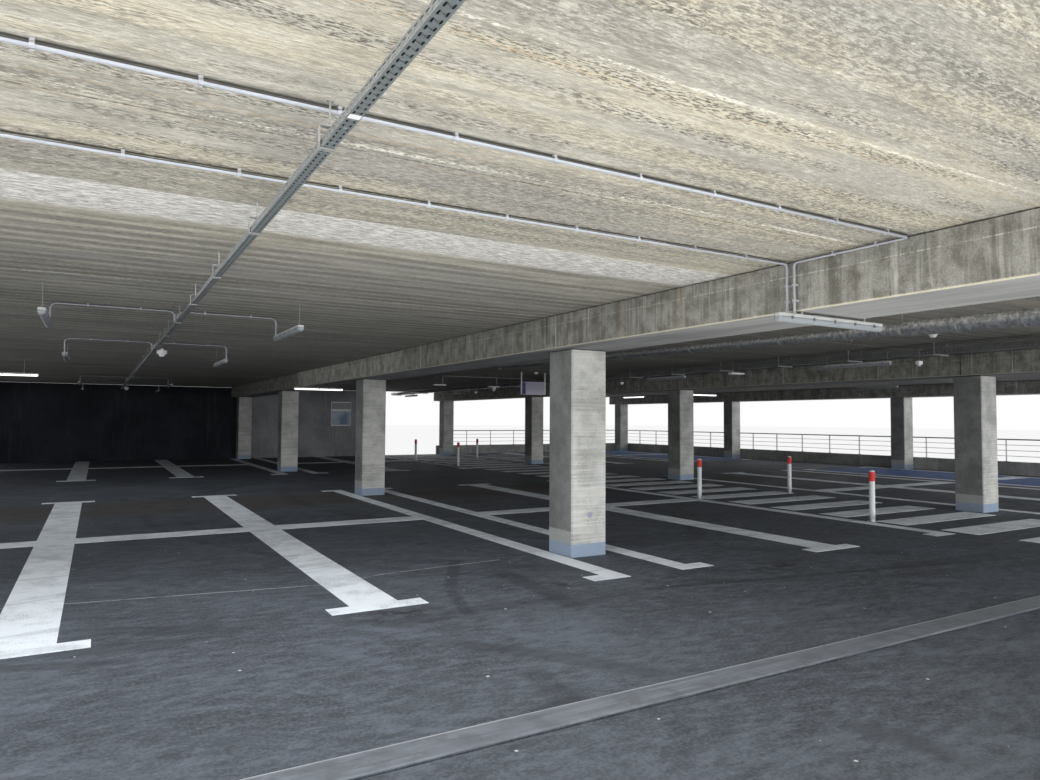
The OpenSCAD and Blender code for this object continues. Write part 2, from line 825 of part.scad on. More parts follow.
// Branch conduits run from the narrow tray to the west lights, and from the wide tray to the
// hung plates
module branch_conduits() {
  gap = conduit_d / 2 + 5;
  low = light_z - light_h / 2;
  color("gainsboro") {
    for (b = branch_y, side = [-1, 1]) {
      y = b[0] - b[1] * (conduit_d / 2 + touch);
      x0 = west_mid + side * west_lights;
      x1 = narrow_tray_mid + side * gap;
      tube_run([[x0, y, low], [x0, y, conduit_z], [x1, y, conduit_z], [x1, y, tray_z + tray_h + touch]],
        conduit_d);
      clip_row(min(x0, x1), max(x0, x1), y);
    }
    feed_x = plate_x[0] + plate_rod_in;
    tube_run([
      [feed_x, plate_y, plate_z + plate[2] / 2], [feed_x, plate_y, conduit_z],
      [wide_side - hook_out, plate_y, conduit_z]
    ], conduit_d);
    translate([plate_x[1] + plate_rod_in, plate_y, plate_z + plate[2] / 2])
      cylinder(d = conduit_d, h = conduit_z - plate_z - plate[2] / 2, $fn = 16);
    clip_row(feed_x, wide_side - hook_out, plate_y);
  }
}

// Strip lights across the aisles, on brackets under beam rows 2 and 3, or hung from the soffit
under_beam = 15;
hung_rise = 130;
aisle_light_y = [light_y, light_y + 2 * bay_pitch];
beam_light_x = [row_x[1] - under_beam, row_x[2] - under_beam];
west_hung_in = 1780;
east_hung_in = 4550;
hung_light_x = [row_x[0] + west_hung_in, row_x[2] + east_hung_in];

module cross_light(x, y, top) {
  bracket = [20, light_w * 0.7, light_bracket_h + 10];
  translate([x, y, top - light_bracket_h]) rotate([0, 0, 90]) strip_light();
  for (side = [-1, 1])
    translate([x + side * light_l * 0.3 - bracket[0] / 2, y - bracket[1] / 2, top - bracket[2]])
      cube(bracket);
}

module aisle_lights() {
  for (y = aisle_light_y)
    color("white") {
      for (x = beam_light_x)
        cross_light(x, y, beam_z);
      for (x = hung_light_x) {
        cross_light(x, y - light_back, beam_z + hung_rise);
        for (side = [-1, 1])
          translate([x + side * light_l * 0.3, y - light_back, beam_z + hung_rise - light_bracket_h / 2])
            cylinder(d = light_rod_d, h = soffit_z - beam_z - hung_rise + light_bracket_h / 2, $fn = 16);
      }
    }
}

// The drain pipe starts under a gully and falls towards the front edge, in three widths
drain_in = 2150;
drain_x = row_x[1] + drain_in;
drain_back = 1850;
drain_steps = [2150, 2900];
drain_ends = [line_y[2] - drain_back, line_y[1] - drain_steps[0], line_y[1] - drain_steps[1], -deck_y + 350];
drain_widths = [drain_d, (drain_d + wrap_d) / 2, wrap_d];

function drain_z(y) = floor_z + drain_low + (y + deck_y) * drain_fall;
function drain_at(y) = [drain_x, y, drain_z(y)];

module drain_pipe() {
  coupling = 70;
  color("silver") union() {
    for (i = [0:2])
      tube_run([drain_at(drain_ends[i]), drain_at(drain_ends[i + 1])], drain_widths[i]);
    translate(drain_at(drain_ends[0])) sphere(d = drain_d);
    translate(drain_at(drain_ends[0])) cylinder(d = drain_d, h = soffit_z - drain_z(drain_ends[0]));
    for (i = [1:2])
      translate([0, coupling, 0])
        tube_run([drain_at(drain_ends[i]), drain_at(drain_ends[i] - coupling)], drain_widths[i] + 8);
  }
}

module drain_ring(y, d) {
  band_w = 30;
  band_t = 4;
  rod_d = 8;
  translate(drain_at(y)) {
    rotate([90, 0, 0]) difference() {
      cylinder(d = d + 2 * touch + 2 * band_t, h = band_w, center = true);
      cylinder(d = d + 2 * touch, h = band_w + 2, center = true);
    }
    translate([0, 0, d / 2 + band_t / 2])
      cylinder(d = rod_d, h = soffit_z - drain_z(y) - d / 2 - band_t / 2, $fn = 16);
  }
}

module drain_hangers() {
  step = bay_pitch / 5;
  for (y = [drain_ends[3] + 400:step:drain_ends[0] - 300])
    color("silver")
      drain_ring(y, y > drain_ends[1] ? drain_widths[0] : y > drain_ends[2] ? drain_widths[1] : drain_widths[2]);
}

// Sign panel facing the front edge, between two posts that hang from the soffit
sign_in = 4810;
sign_on = 1250;
sign_x = row_x[1] + sign_in;
sign_y = line_y[2] + sign_on;

module hanging_sign() {
  post = 30;
  cap_h = 20;
  z0 = floor_z + sign_z;
  color("white") translate([sign_x, sign_y, z0]) {
    translate([-sign_l / 2, -sign_t / 2, 0]) cube([sign_l, sign_t, sign_h]);
    translate([-sign_l / 2, -sign_t / 2 - clear, sign_h - cap_h]) cube([sign_l, sign_t + 2 * clear, cap_h]);
    for (side = [-1, 1])
      translate([side * (sign_l - post) / 2 - post / 2, -sign_t / 2 - clear, clear])
        cube([post, post, soffit_z - z0 - clear]);
  }
}

// Round detectors hang from a bracket beside the narrow tray and from a hook on the wide tray
detector_d = 140;
drum_h = 56;
detector_on = 1075;
hung_detectors = [for (y = branch_mid) y + detector_on];
detector_out = 70;
detector_drop = 30;
detector_z = tray_z - detector_drop;
wide_detector_back = 850;
wide_detector_h = 2540;
wide_detector = [line_y[2] - wide_detector_back, floor_z + wide_detector_h];
// Others are fixed flat to the soffit, and a sensor box hangs from the wide tray
near_detector_x = 5020;
near_detector_y = 2640;
far_detector_x = 4710;
far_detector_y = 930;
soffit_detectors = [
  [row_x[1] + near_detector_x, joint_y + near_detector_y],
  [row_x[1] + far_detector_x, line_y[2] + far_detector_y]
];
sensor_back = 600;
sensor_y = [line_y[1] - sensor_back, line_y[3] - sensor_back];
sensor_h = 2560;
sensor_top = floor_z + sensor_h;
// White plates hang in the second aisle, and one beside the wide tray
plate = [350, 120, 30];
plate_rod_in = 90;
first_plate = 3100;
second_plate = 4800;
plate_x = [row_x[1] + first_plate, row_x[1] + second_plate];
plate_y = aisle_mid[1] - light_back;
plate_h = 2535;
plate_z = floor_z + plate_h;
tray_plate_in = 3100;
tray_plate_y = line_y[1] + tray_plate_in;

// A drum with a dome below it, top at the origin
module detector(d, drum) {
  dome = d * 0.28;
  translate([0, 0, -drum]) cylinder(d = d, h = drum);
  translate([0, 0, -drum - dome]) cylinder(d1 = d * 0.3, d2 = d * 0.6, h = dome);
}

module soffit_detector() {
  rim = 120;
  base_t = 16;
  head_h = 36;
  translate([0, 0, -base_t]) cylinder(d = rim, h = base_t);
  translate([0, 0, -base_t - head_h]) cylinder(d1 = rim * 0.45, d2 = rim * 0.8, h = head_h);
}

module bracket_detector(y) {
  bracket = [detector_out + tray_w / 2 + 10, 40, 5];
  translate([narrow_tray_mid - tray_w / 2, y - bracket[1] / 2, tray_z - bracket[2]]) cube(bracket);
  translate([narrow_tray_mid + detector_out, y, detector_z]) {
    detector(detector_d, drum_h);
    cylinder(d = light_rod_d * 2, h = tray_z - detector_z - bracket[2] / 2, $fn = 16);
  }
}

module hung_plate(x, y) {
  translate([x - plate[0] / 2, y - plate[1] / 2, plate_z]) cube(plate);
  translate([x - plate_rod_in, y, plate_z + plate[2] / 2])
    cylinder(d = light_rod_d, h = soffit_z - plate_z - plate[2] / 2, $fn = 16);
}

module detectors() {
  box = [100, 60, 55];
  hook_x = wide_side - hook_out;
  color("white") {
    for (y = hung_detectors)
      bracket_detector(y);
    for (p = soffit_detectors)
      translate([p[0], p[1], soffit_z]) soffit_detector();
    translate([hook_x, wide_detector[0], wide_detector[1]]) detector(detector_d * 0.65, drum_h * 0.65);
    tray_hook(wide_detector[0], wide_detector[1] - drum_h / 4);
    for (y = sensor_y) {
      translate([hook_x, y, sensor_top - box[2] / 2]) cube(box, center = true);
      translate([hook_x, y, sensor_top - box[2]]) sphere(d = box[1] * 0.8);
      tray_hook(y, sensor_top - box[2] / 2);
    }
    for (x = plate_x)
      hung_plate(x, plate_y);
    translate([plate_x[1], plate_y, plate_z]) detector(detector_d * 0.8, drum_h * 1.6);
    hung_plate(hook_x - plate_rod_in, tray_plate_y);
    tray_hook(tray_plate_y, plate_z + plate[2] / 2);
  }
}

ground_slab();
movement_joint_strips();
columns_row(0);  // columns_row_1
columns_row(1);  // columns_row_2
columns_row(2);  // columns_row_3
columns_row(3);  // columns_row_4
bearing_pads();
beams_row(0);  // beams_row_1
beams_row(1);  // beams_row_2
beams_row(2);  // beams_row_3
beams_row(3);  // beams_row_4
deck_units(0);  // deck_units_west
deck_units(1);  // deck_units_mid
deck_units(2);  // deck_units_east
deck_topping();
bay_lines();
walkway_stripes();
blue_bays();
upper_markings();
upper_blue_bays();
floor_upstands();
floor_railings();
upper_upstands();
upper_railings();
end_wall_west();
end_wall_mid();
wall_window();
walkway_post(0);  // walkway_post_1
walkway_post(1);  // walkway_post_2
walkway_post(2);  // walkway_post_3
walkway_post(3);  // walkway_post_4
walkway_post(4);  // walkway_post_5
walkway_post(5);  // walkway_post_6
cable_tray();
wide_cable_tray();
tray_hangers();
ceiling_conduits();
branch_conduits();
hung_lights();
aisle_lights();
drain_pipe();
drain_hangers();
hanging_sign();
detectors();
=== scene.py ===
# %% [markdown]
# # One storey of a multi storey car park
#
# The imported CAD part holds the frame: slab, columns, beams, deck units, markings, railings and
# services, each at its real place. This lesson dresses it. Plain concrete is mostly a matter of
# materials, and the services near the camera are a matter of modelling.
# All lengths are metres. +X runs across the beam rows, +Y along them, and +Z is up.

# %% Load the frame
import math

import bpy
from mathutils import Matrix, Vector


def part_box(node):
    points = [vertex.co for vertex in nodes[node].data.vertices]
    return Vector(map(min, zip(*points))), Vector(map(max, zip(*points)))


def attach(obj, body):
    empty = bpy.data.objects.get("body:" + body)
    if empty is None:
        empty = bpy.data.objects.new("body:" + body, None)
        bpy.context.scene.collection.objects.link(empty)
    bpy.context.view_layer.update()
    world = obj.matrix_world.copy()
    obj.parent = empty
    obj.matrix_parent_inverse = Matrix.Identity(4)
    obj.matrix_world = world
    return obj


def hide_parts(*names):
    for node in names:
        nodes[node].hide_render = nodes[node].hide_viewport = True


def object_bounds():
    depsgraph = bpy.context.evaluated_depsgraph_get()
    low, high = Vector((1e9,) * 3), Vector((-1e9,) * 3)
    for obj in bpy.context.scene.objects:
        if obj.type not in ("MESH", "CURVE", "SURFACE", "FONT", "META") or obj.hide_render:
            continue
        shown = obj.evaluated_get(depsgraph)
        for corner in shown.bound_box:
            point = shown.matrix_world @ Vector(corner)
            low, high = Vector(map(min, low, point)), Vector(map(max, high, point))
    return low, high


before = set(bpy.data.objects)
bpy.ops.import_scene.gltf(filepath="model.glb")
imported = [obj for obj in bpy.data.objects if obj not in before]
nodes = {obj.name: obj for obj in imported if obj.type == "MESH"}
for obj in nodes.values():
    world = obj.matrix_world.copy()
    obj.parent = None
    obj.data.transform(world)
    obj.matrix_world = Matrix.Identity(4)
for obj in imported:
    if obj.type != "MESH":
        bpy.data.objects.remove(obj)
cad_low, cad_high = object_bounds()
print("CAD box", [round(v, 3) for v in (*cad_low, *cad_high)], "nodes", len(nodes))

# %% [markdown]
# ## Levels and lines of the building
#
# Every later place is worked out from the CAD nodes, so a change of the part moves the dressing too.
# Floor, soffit, beams and column rows are read from the boxes of their nodes.

# %% Read the main lines
floor_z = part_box("ground_slab")[1].z
soffit_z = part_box("deck_units_west")[0].z
beam_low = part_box("beams_row_2")[0].z
front_y = cad_low.y
row_names = ["columns_row_%d" % k for k in range(1, 5)]
row_x = [sum(v.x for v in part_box(name)) / 2 for name in row_names]
low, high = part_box("columns_row_2")
column_half = (high.x - low.x) / 2
bay_pitch = (high.y - low.y - 2 * column_half) / 4
line_y = [low.y + column_half + k * bay_pitch for k in range(5)]
X, Y, Z = range(3)
QUARTER = math.pi / 2
print("rows", [round(x, 3) for x in row_x], "lines", [round(y, 3) for y in line_y])

# %% [markdown]
# ## Camera
#
# The picture is taken from inside the storey, just behind the front edge and at eye height. The lens,
# the turn and the slight upward tilt come from where the beams, the soffit and the floor lines vanish.

# %% Set the camera
PHOTO_WIDTH = 1040
STAGE_SIZE = 400.0
FOCAL_PIXELS = 726.5
SENSOR_MM = 36.0
camera_data = bpy.data.cameras.new("photo_view")
camera_data.sensor_width = SENSOR_MM
camera_data.lens = FOCAL_PIXELS / PHOTO_WIDTH * SENSOR_MM
camera_data.clip_end = STAGE_SIZE
camera = bpy.data.objects.new("photo_view", camera_data)
bpy.context.scene.collection.objects.link(camera)
bpy.context.scene.camera = camera

EYE_ASIDE, EYE_BACK, EYE_HEIGHT = 10.20, 15.05, 1.60
TURN, TILT, ROLL = 30.15, 2.35, 0.32
eye = Vector((-EYE_ASIDE, -EYE_BACK, floor_z + EYE_HEIGHT))
yaw, pitch, roll = math.radians(TURN), math.radians(TILT), math.radians(ROLL)
ahead = Vector((math.sin(yaw) * math.cos(pitch), math.cos(yaw) * math.cos(pitch), math.sin(pitch)))
level_right = Vector((math.cos(yaw), -math.sin(yaw), 0.0))
level_up = level_right.cross(ahead)
right = math.cos(roll) * level_right + math.sin(roll) * level_up
up = math.cos(roll) * level_up - math.sin(roll) * level_right
camera.matrix_world = Matrix.Translation(eye) @ Matrix((right, up, -ahead)).transposed().to_4x4()
print("lens", round(camera_data.lens, 2), "mm, eye", [round(v, 2) for v in eye])

# %% [markdown]
# ## Studio: pale floor, white surroundings, soft lamps
#
# A deep storey under a deck gets its light from its open edges and from the ground in front of them,
# which is why its soffit is bright near the edge and dark further in. Large soft lamps stand where
# that light comes from. None of them shows itself: the camera and the mirror rays pass them by. The
# sky is plain white to them, and the ground nearly so, but the ground keeps the building's shadow.

# %% Floor and surroundings
WHITE = (1.0, 1.0, 1.0, 1.0)
SKY = (0.93, 0.96, 1.0, 1.0)
SKY_STRENGTH = 0.34
FLOOR_GREY = (0.70, 0.71, 0.72, 1.0)
BACKDROP_SHARE = 0.90


def add(tree, kind, **settings):
    """A new shader node, with plain attributes set by name."""
    item = tree.nodes.new(kind)
    for key, value in settings.items():
        setattr(item, key, value)
    return item


def seen_directly(tree):
    """1 for the rays that come straight from the camera, or through a mirror or glass."""
    path = add(tree, "ShaderNodeLightPath")
    glossy = add(tree, "ShaderNodeMath", operation="MAXIMUM")
    seen = add(tree, "ShaderNodeMath", operation="MAXIMUM")
    tree.links.new(path.outputs["Is Camera Ray"], glossy.inputs[0])
    tree.links.new(path.outputs["Is Glossy Ray"], glossy.inputs[1])
    tree.links.new(glossy.outputs[0], seen.inputs[0])
    tree.links.new(path.outputs["Is Transmission Ray"], seen.inputs[1])
    return seen.outputs[0]


def show_white(tree, lit, white, share, end):
    """Shows the white shader to the rays that come straight here, in that share, and feeds the end."""
    white.inputs["Color"].default_value = WHITE
    amount = add(tree, "ShaderNodeMath", operation="MULTIPLY")
    amount.inputs[1].default_value = share
    blend = add(tree, "ShaderNodeMixShader")
    tree.links.new(seen_directly(tree), amount.inputs[0])
    tree.links.new(amount.outputs[0], blend.inputs[0])
    tree.links.new(lit.outputs[0], blend.inputs[1])
    tree.links.new(white.outputs[0], blend.inputs[2])
    tree.links.new(blend.outputs[0], end.inputs["Surface"])


bpy.context.scene.view_settings.view_transform = "Standard"
world = bpy.data.worlds.new("studio")
bpy.context.scene.world = world
world.use_nodes = True
tree = world.node_tree
tree.nodes.clear()
soft_light = add(tree, "ShaderNodeBackground")
soft_light.inputs["Color"].default_value = SKY
soft_light.inputs["Strength"].default_value = SKY_STRENGTH
show_white(tree, soft_light, add(tree, "ShaderNodeBackground"), 1.0, add(tree, "ShaderNodeOutputWorld"))
world.cycles.sampling_method = "NONE"

bpy.ops.mesh.primitive_plane_add(size=STAGE_SIZE, location=(0.0, 0.0, -0.004))
studio_floor = bpy.context.active_object
studio_floor.name = "studio_floor"
pale = bpy.data.materials.new("studio_pale")
pale.use_nodes = True
tree = pale.node_tree
matt = tree.nodes["Principled BSDF"]
matt.inputs["Base Color"].default_value = FLOOR_GREY
matt.inputs["Roughness"].default_value = 0.9
show_white(tree, matt, add(tree, "ShaderNodeEmission"), BACKDROP_SHARE, tree.nodes["Material Output"])
pale.cycles.emission_sampling = "NONE"
studio_floor.data.materials.append(pale)

# %% Soft lamps


def soft_lamp(name, place, aim, size, watts, colour=(1.0, 1.0, 1.0)):
    """A rectangular area lamp at place that faces aim and is never seen itself."""
    data = bpy.data.lights.new(name, "AREA")
    data.shape = "RECTANGLE"
    data.size, data.size_y = size
    data.energy = watts
    data.color = colour
    data.cycles.use_multiple_importance_sampling = False
    lamp = bpy.data.objects.new(name, data)
    bpy.context.scene.collection.objects.link(lamp)
    lamp.location = place
    lamp.rotation_euler = (Vector(aim) - Vector(place)).to_track_quat("-Z", "Y").to_euler()
    lamp.visible_camera = lamp.visible_glossy = lamp.visible_transmission = False


soft_lamp("ground_glow", (-12.4, -14.5, 0.36), (-12.4, -14.49, 5.0), (18.0, 8.5), 740.0, (1.0, 0.98, 0.93))
soft_lamp("front_sky", (-1.0, -24.0, 3.0), (-1.0, 0.0, 1.6), (36.0, 5.0), 3300.0, (0.97, 0.98, 1.0))
soft_lamp("west_sky", (-22.0, -9.0, 3.0), (0.0, -9.0, 1.6), (16.0, 5.0), 750.0, (0.95, 0.98, 1.0))
soft_lamp("east_sky", (22.0, -6.0, 3.0), (0.0, -6.0, 1.6), (24.0, 5.0), 1150.0, (0.95, 0.98, 1.0))
soft_lamp("front_east", (12.0, -22.0, 2.6), (8.0, 0.0, 1.0), (14.0, 4.0), 1100.0, (1.0, 0.99, 0.96))
soft_lamp("over_sky", (0.0, 0.0, 22.0), (0.0, 0.01, 0.0), (30.0, 30.0), 2200.0)
soft_lamp("inside_fill", (-10.6, -11.0, 3.12), (-10.6, -10.99, 0.0), (7.5, 7.0), 240.0, (0.93, 0.96, 1.0))
soft_lamp("inside_back", (-9.5, 1.5, 3.12), (-9.5, 1.51, 0.0), (8.0, 9.0), 75.0, (0.95, 0.97, 1.0))

# %% [markdown]
# ## Words for shader nodes
#
# Every finish below is a recipe of noise, ranges and mixes. A few short words keep such a recipe
# readable: each takes plain numbers or the outputs of earlier steps, and gives back an output.

# %% Recipe words


class Recipe:
    """Short words for the shader nodes that the finishes are made of."""

    def __init__(self, tree):
        self.tree = tree

    def node(self, kind, feeds, **settings):
        """A node whose inputs take earlier outputs, or plain values."""
        item = add(self.tree, kind, **settings)
        for slot, value in feeds.items():
            socket = item.inputs[slot]
            if isinstance(value, bpy.types.NodeSocket):
                self.tree.links.new(value, socket)
            else:
                socket.default_value = (*value, 1.0) if socket.type == "RGBA" else value
        return item

    def calc(self, operation, a, b=0.0):
        return self.node("ShaderNodeMath", {0: a, 1: b}, operation=operation).outputs[0]

    def times(self, *values):
        """The product of all the values."""
        result = values[0]
        for value in values[1:]:
            result = self.calc("MULTIPLY", result, value)
        return result

    def plus(self, a, b):
        return self.calc("ADD", a, b)

    def minus(self, a, b):
        return self.calc("SUBTRACT", a, b)

    def most(self, *values):
        """The largest of the values."""
        result = values[0]
        for value in values[1:]:
            result = self.calc("MAXIMUM", result, value)
        return result

    def ramp(self, value, low, high, to_low=0.0, to_high=1.0):
        """A smooth rise from to_low at low to to_high at high."""
        feeds = {0: value, 1: low, 2: high, 3: to_low, 4: to_high}
        return self.node("ShaderNodeMapRange", feeds, interpolation_type="SMOOTHSTEP").outputs[0]

    def stretch(self, place, scale, move=(0.0, 0.0, 0.0), turn=0.0):
        feeds = {"Vector": place, "Location": move, "Rotation": (0.0, 0.0, turn), "Scale": scale}
        return self.node("ShaderNodeMapping", feeds).outputs[0]

    def noise(self, place, scale, detail=2.0, rough=0.55, flat=False):
        feeds = {"Vector": place, "Scale": scale, "Detail": detail, "Roughness": rough}
        return self.node("ShaderNodeTexNoise", feeds, noise_dimensions="2D" if flat else "3D").outputs[0]

    def streaks(self, place, scale, detail=2.0, rough=0.55, move=(0.0, 0.0, 0.0), turn=0.0, flat=True):
        """Noise with its own scale along each axis, so that it is drawn out where the scale is low."""
        return self.noise(self.stretch(place, scale, move, turn), 1.0, detail, rough, flat)

    def cells(self, place, scale, flat=False):
        feeds = {"Vector": place, "Scale": scale}
        return self.node("ShaderNodeTexVoronoi", feeds, voronoi_dimensions="2D" if flat else "3D").outputs

    def axes(self, place):
        return self.node("ShaderNodeSeparateXYZ", {0: place}).outputs

    def mix(self, share, a, b, blend="MIX"):
        """Colour a where share is 0, and colour b where it is 1."""
        feeds = {0: share, 6: a, 7: b}
        return self.node("ShaderNodeMix", feeds, data_type="RGBA", blend_type=blend).outputs[2]

    def over(self, tone, colour, *shares):
        """Lays a colour over the tone, by the product of the shares."""
        return self.mix(self.times(*shares), tone, colour)

    def near(self, value, centre, half_width):
        """1 at centre, falling to 0 at half_width from it."""
        off = self.calc("ABSOLUTE", self.minus(value, centre))
        return self.ramp(off, half_width, half_width * 0.35)

    def spot(self, place, centre, radius, squash=(1.0, 1.0, 1.0)):
        """1 at centre, falling to 0 at radius, wider where squash is under 1."""
        moved = self.stretch(place, squash, tuple(-c * s for c, s in zip(centre, squash)))
        far = self.node("ShaderNodeVectorMath", {0: moved}, operation="LENGTH").outputs["Value"]
        return self.ramp(far, radius, 0.0)

    def use(self, group, **feeds):
        """An effect's group, with its named inputs."""
        named = {key.replace("_", " "): value for key, value in feeds.items()}
        return self.node("ShaderNodeGroup", named, node_tree=group).outputs


SOCKET_KINDS = {"vector": "NodeSocketVector", "value": "NodeSocketFloat", "colour": "NodeSocketColor"}


def new_effect(name, feeds, results):
    """A shader node group with named inputs and outputs, its recipe, and its two ends."""
    group = bpy.data.node_groups.new(name, "ShaderNodeTree")
    for label, (kind, start) in feeds.items():
        socket = group.interface.new_socket(label, in_out="INPUT", socket_type=SOCKET_KINDS[kind])
        if start is not None:
            socket.default_value = start
    for label, kind in results.items():
        group.interface.new_socket(label, in_out="OUTPUT", socket_type=SOCKET_KINDS[kind])
    start_node = group.nodes.new("NodeGroupInput")
    end_node = group.nodes.new("NodeGroupOutput")

    def give(label, value):
        group.links.new(value, end_node.inputs[label])

    return group, Recipe(group), start_node.outputs, give


# %% [markdown]
# ## Effects that several finishes share
#
# Concrete that was cast against a form has three scales: broad clouds of paler and darker cement,
# a fine sandy grain, and small round pits where air was trapped, drawn as dark spots of painted shade.
# The same three are wanted on the columns, beams and walls, only in different amounts, so they are one node
# group.

# %% Cast concrete skin
cast_skin, r, feed, give = new_effect(
    "cast_skin",
    {"Place": ("vector", None), "Dark": ("colour", (0.3, 0.3, 0.3, 1.0)),
     "Pale": ("colour", (0.5, 0.5, 0.5, 1.0)), "Cloud Size": ("value", 1.0),
     "Grain": ("value", 0.1), "Pits": ("value", 0.5)},
    {"Colour": "colour", "Grain": "value"})
cloud = r.noise(feed["Place"], feed["Cloud Size"], 4.0, 0.66)
speck = r.noise(feed["Place"], 70.0, 1.0, 0.7)
tone = r.mix(r.ramp(cloud, 0.34, 0.66), feed["Dark"], feed["Pale"])
sandy = r.plus(1.0, r.times(r.minus(speck, 0.5), feed["Grain"]))
sand_tone = r.node("ShaderNodeCombineXYZ", {0: sandy, 1: sandy, 2: sandy}).outputs[0]
shaded = r.mix(1.0, tone, sand_tone, "MULTIPLY")
hole = r.cells(feed["Place"], 24.0)
chosen = r.ramp(r.axes(hole["Color"])[0], 0.78, 0.82)
# The pits are dark spots: painted shade inside the small holes, which have no geometry.
pit_shade = r.times(r.ramp(hole["Distance"], 0.28, 0.16), chosen, feed["Pits"])
give("Colour", r.mix(r.times(pit_shade, 0.75), shaded, (0.07, 0.068, 0.062)))
give("Grain", speck)
print("effect", cast_skin.name, len(cast_skin.nodes), "nodes")

# %% [markdown]
# Water that runs down a face leaves long narrow marks. Noise that is squeezed across and stretched
# down gives them, and a second, broader noise keeps them in groups.

# %% Vertical runs
runs, r, feed, give = new_effect(
    "vertical_runs",
    {"Place": ("vector", None), "Width": ("value", 14.0), "Length": ("value", 1.2),
     "Least": ("value", 0.55)},
    {"Mask": "value"})
axis = r.axes(feed["Place"])
scaled = [r.times(axis[k], feed[label]) for k, label in enumerate(("Width", "Width", "Length"))]
long_place = r.node("ShaderNodeCombineXYZ", dict(enumerate(scaled))).outputs[0]
thread = r.noise(long_place, 1.0, 3.0, 0.6)
cluster = r.noise(long_place, 0.17, 1.0, 0.5)
give("Mask", r.times(r.ramp(thread, feed["Least"], r.plus(feed["Least"], 0.14)),
                     r.ramp(cluster, 0.36, 0.62)))
print("effect", runs.name, len(runs.nodes), "nodes")

# %% [markdown]
# Lime comes out of fine cracks and joints as a white crust along the line, broken and wandering a
# little to both sides. The group takes how far off the line a place is, in half widths, so that one
# group serves any number of lines: each finish works out the nearest line first.

# %% Crust along a line
crust, r, feed, give = new_effect(
    "crust_line",
    {"Place": ("vector", None), "Off": ("value", 1.0), "Gaps": ("value", 0.5)},
    {"Mask": "value"})
wander = r.times(r.minus(r.noise(feed["Place"], 9.0, 2.0, 0.7, flat=True), 0.5), 1.6)
body = r.ramp(r.calc("ABSOLUTE", r.plus(feed["Off"], wander)), 1.0, 0.45)
lumps = r.streaks(feed["Place"], (34.0, 70.0, 1.0), 3.0, 0.75)
patches = r.noise(feed["Place"], 1.3, 1.0, 0.5, flat=True)
kept = r.ramp(r.plus(r.times(lumps, 0.72), r.times(patches, 0.28)), feed["Gaps"],
              r.plus(feed["Gaps"], 0.05))
give("Mask", r.times(body, kept))
print("effect", crust.name, len(crust.nodes), "nodes")

# %% [markdown]
# Floors and paint both carry wheel marks, scuffs and swept dust. The scuffs are bent: the place is
# pushed about by a slow noise first, so that straight noise becomes arcs.

# %% Scuffs and dust
scuffs, r, feed, give = new_effect(
    "scuffs",
    {"Place": ("vector", None), "Bend": ("value", 0.8), "Turn": ("value", 0.5)},
    {"Pale": "value", "Dark": "value", "Specks": "value"})
push = r.node("ShaderNodeTexNoise", {"Vector": feed["Place"], "Scale": 0.45, "Detail": 0.0},
              noise_dimensions="2D")
centred = r.node("ShaderNodeVectorMath", {0: push.outputs["Color"], 1: (0.5, 0.5, 0.5)},
                 operation="SUBTRACT").outputs[0]
bent = r.node("ShaderNodeVectorMath", {0: centred, "Scale": feed["Bend"]}, operation="SCALE").outputs[0]
pushed = r.node("ShaderNodeVectorMath", {0: feed["Place"], 1: bent}, operation="ADD").outputs[0]
turned = r.node("ShaderNodeVectorRotate", {"Vector": pushed, "Angle": feed["Turn"]},
                rotation_type="Z_AXIS").outputs[0]
wide_sweep = r.streaks(turned, (0.55, 2.6, 1.0), 4.0, 0.62)
thin_sweep = r.streaks(turned, (1.6, 17.0, 1.0), 2.0, 0.6, move=(4.0, 0.0, 0.0))
give("Pale", r.most(r.ramp(wide_sweep, 0.50, 0.72), r.times(r.ramp(thin_sweep, 0.56, 0.70), 0.5)))
turned_back = r.stretch(pushed, (0.8, 3.4, 1.0), (9.0, 3.0, 0.0), -0.6)
give("Dark", r.ramp(r.noise(turned_back, 1.0, 3.0, 0.6, flat=True), 0.52, 0.68))
crumb = r.cells(feed["Place"], 2.2, flat=True)
size = r.times(r.axes(crumb["Color"])[1], 0.026)
small = r.calc("LESS_THAN", crumb["Distance"], size)
give("Specks", r.times(small, r.calc("GREATER_THAN", r.axes(crumb["Color"])[0], 0.55)))
print("effect", scuffs.name, len(scuffs.nodes), "nodes")

# %% [markdown]
# ## Starting a finish
#
# Each finish starts from the same three things: the place on the object, the way the surface faces,
# and a Principled shader. The place is in Object coordinates, which here are the building's own
# metres, so a stain can be put where it lies on the real storey.

# %% Start and end of a finish


def new_finish(name, roughness=0.8, metallic=0.0, specular=0.5):
    """A material, its recipe, the place on the object and the surface's facing."""
    material = bpy.data.materials.new(name)
    material.use_nodes = True
    tree = material.node_tree
    shader = tree.nodes["Principled BSDF"]
    shader.inputs["Roughness"].default_value = roughness
    shader.inputs["Metallic"].default_value = metallic
    shader.inputs["Specular IOR Level"].default_value = specular
    recipe = Recipe(tree)
    place = add(tree, "ShaderNodeTexCoord").outputs["Object"]
    facing = add(tree, "ShaderNodeNewGeometry").outputs["Normal"]
    return material, recipe, place, facing


def end_finish(material, colour, roughness=None, height=None, depth=0.001):
    """Feeds the worked-out colour, roughness and height to the material's shader."""
    tree = material.node_tree
    shader = tree.nodes["Principled BSDF"]
    tree.links.new(colour, shader.inputs["Base Color"])
    if roughness is not None:
        tree.links.new(roughness, shader.inputs["Roughness"])
    if height is not None:
        bump = add(tree, "ShaderNodeBump")
        bump.inputs["Distance"].default_value = depth
        tree.links.new(height, bump.inputs["Height"])
        tree.links.new(bump.outputs["Normal"], shader.inputs["Normal"])
    print("finish", material.name, len(tree.nodes), "nodes")
    return material


def dress(material, *names):
    """Gives CAD nodes a finish by filling their material slots."""
    for name in names:
        slots = nodes[name].material_slots
        for slot in slots:
            slot.material = material
        if not slots:
            nodes[name].data.materials.append(material)
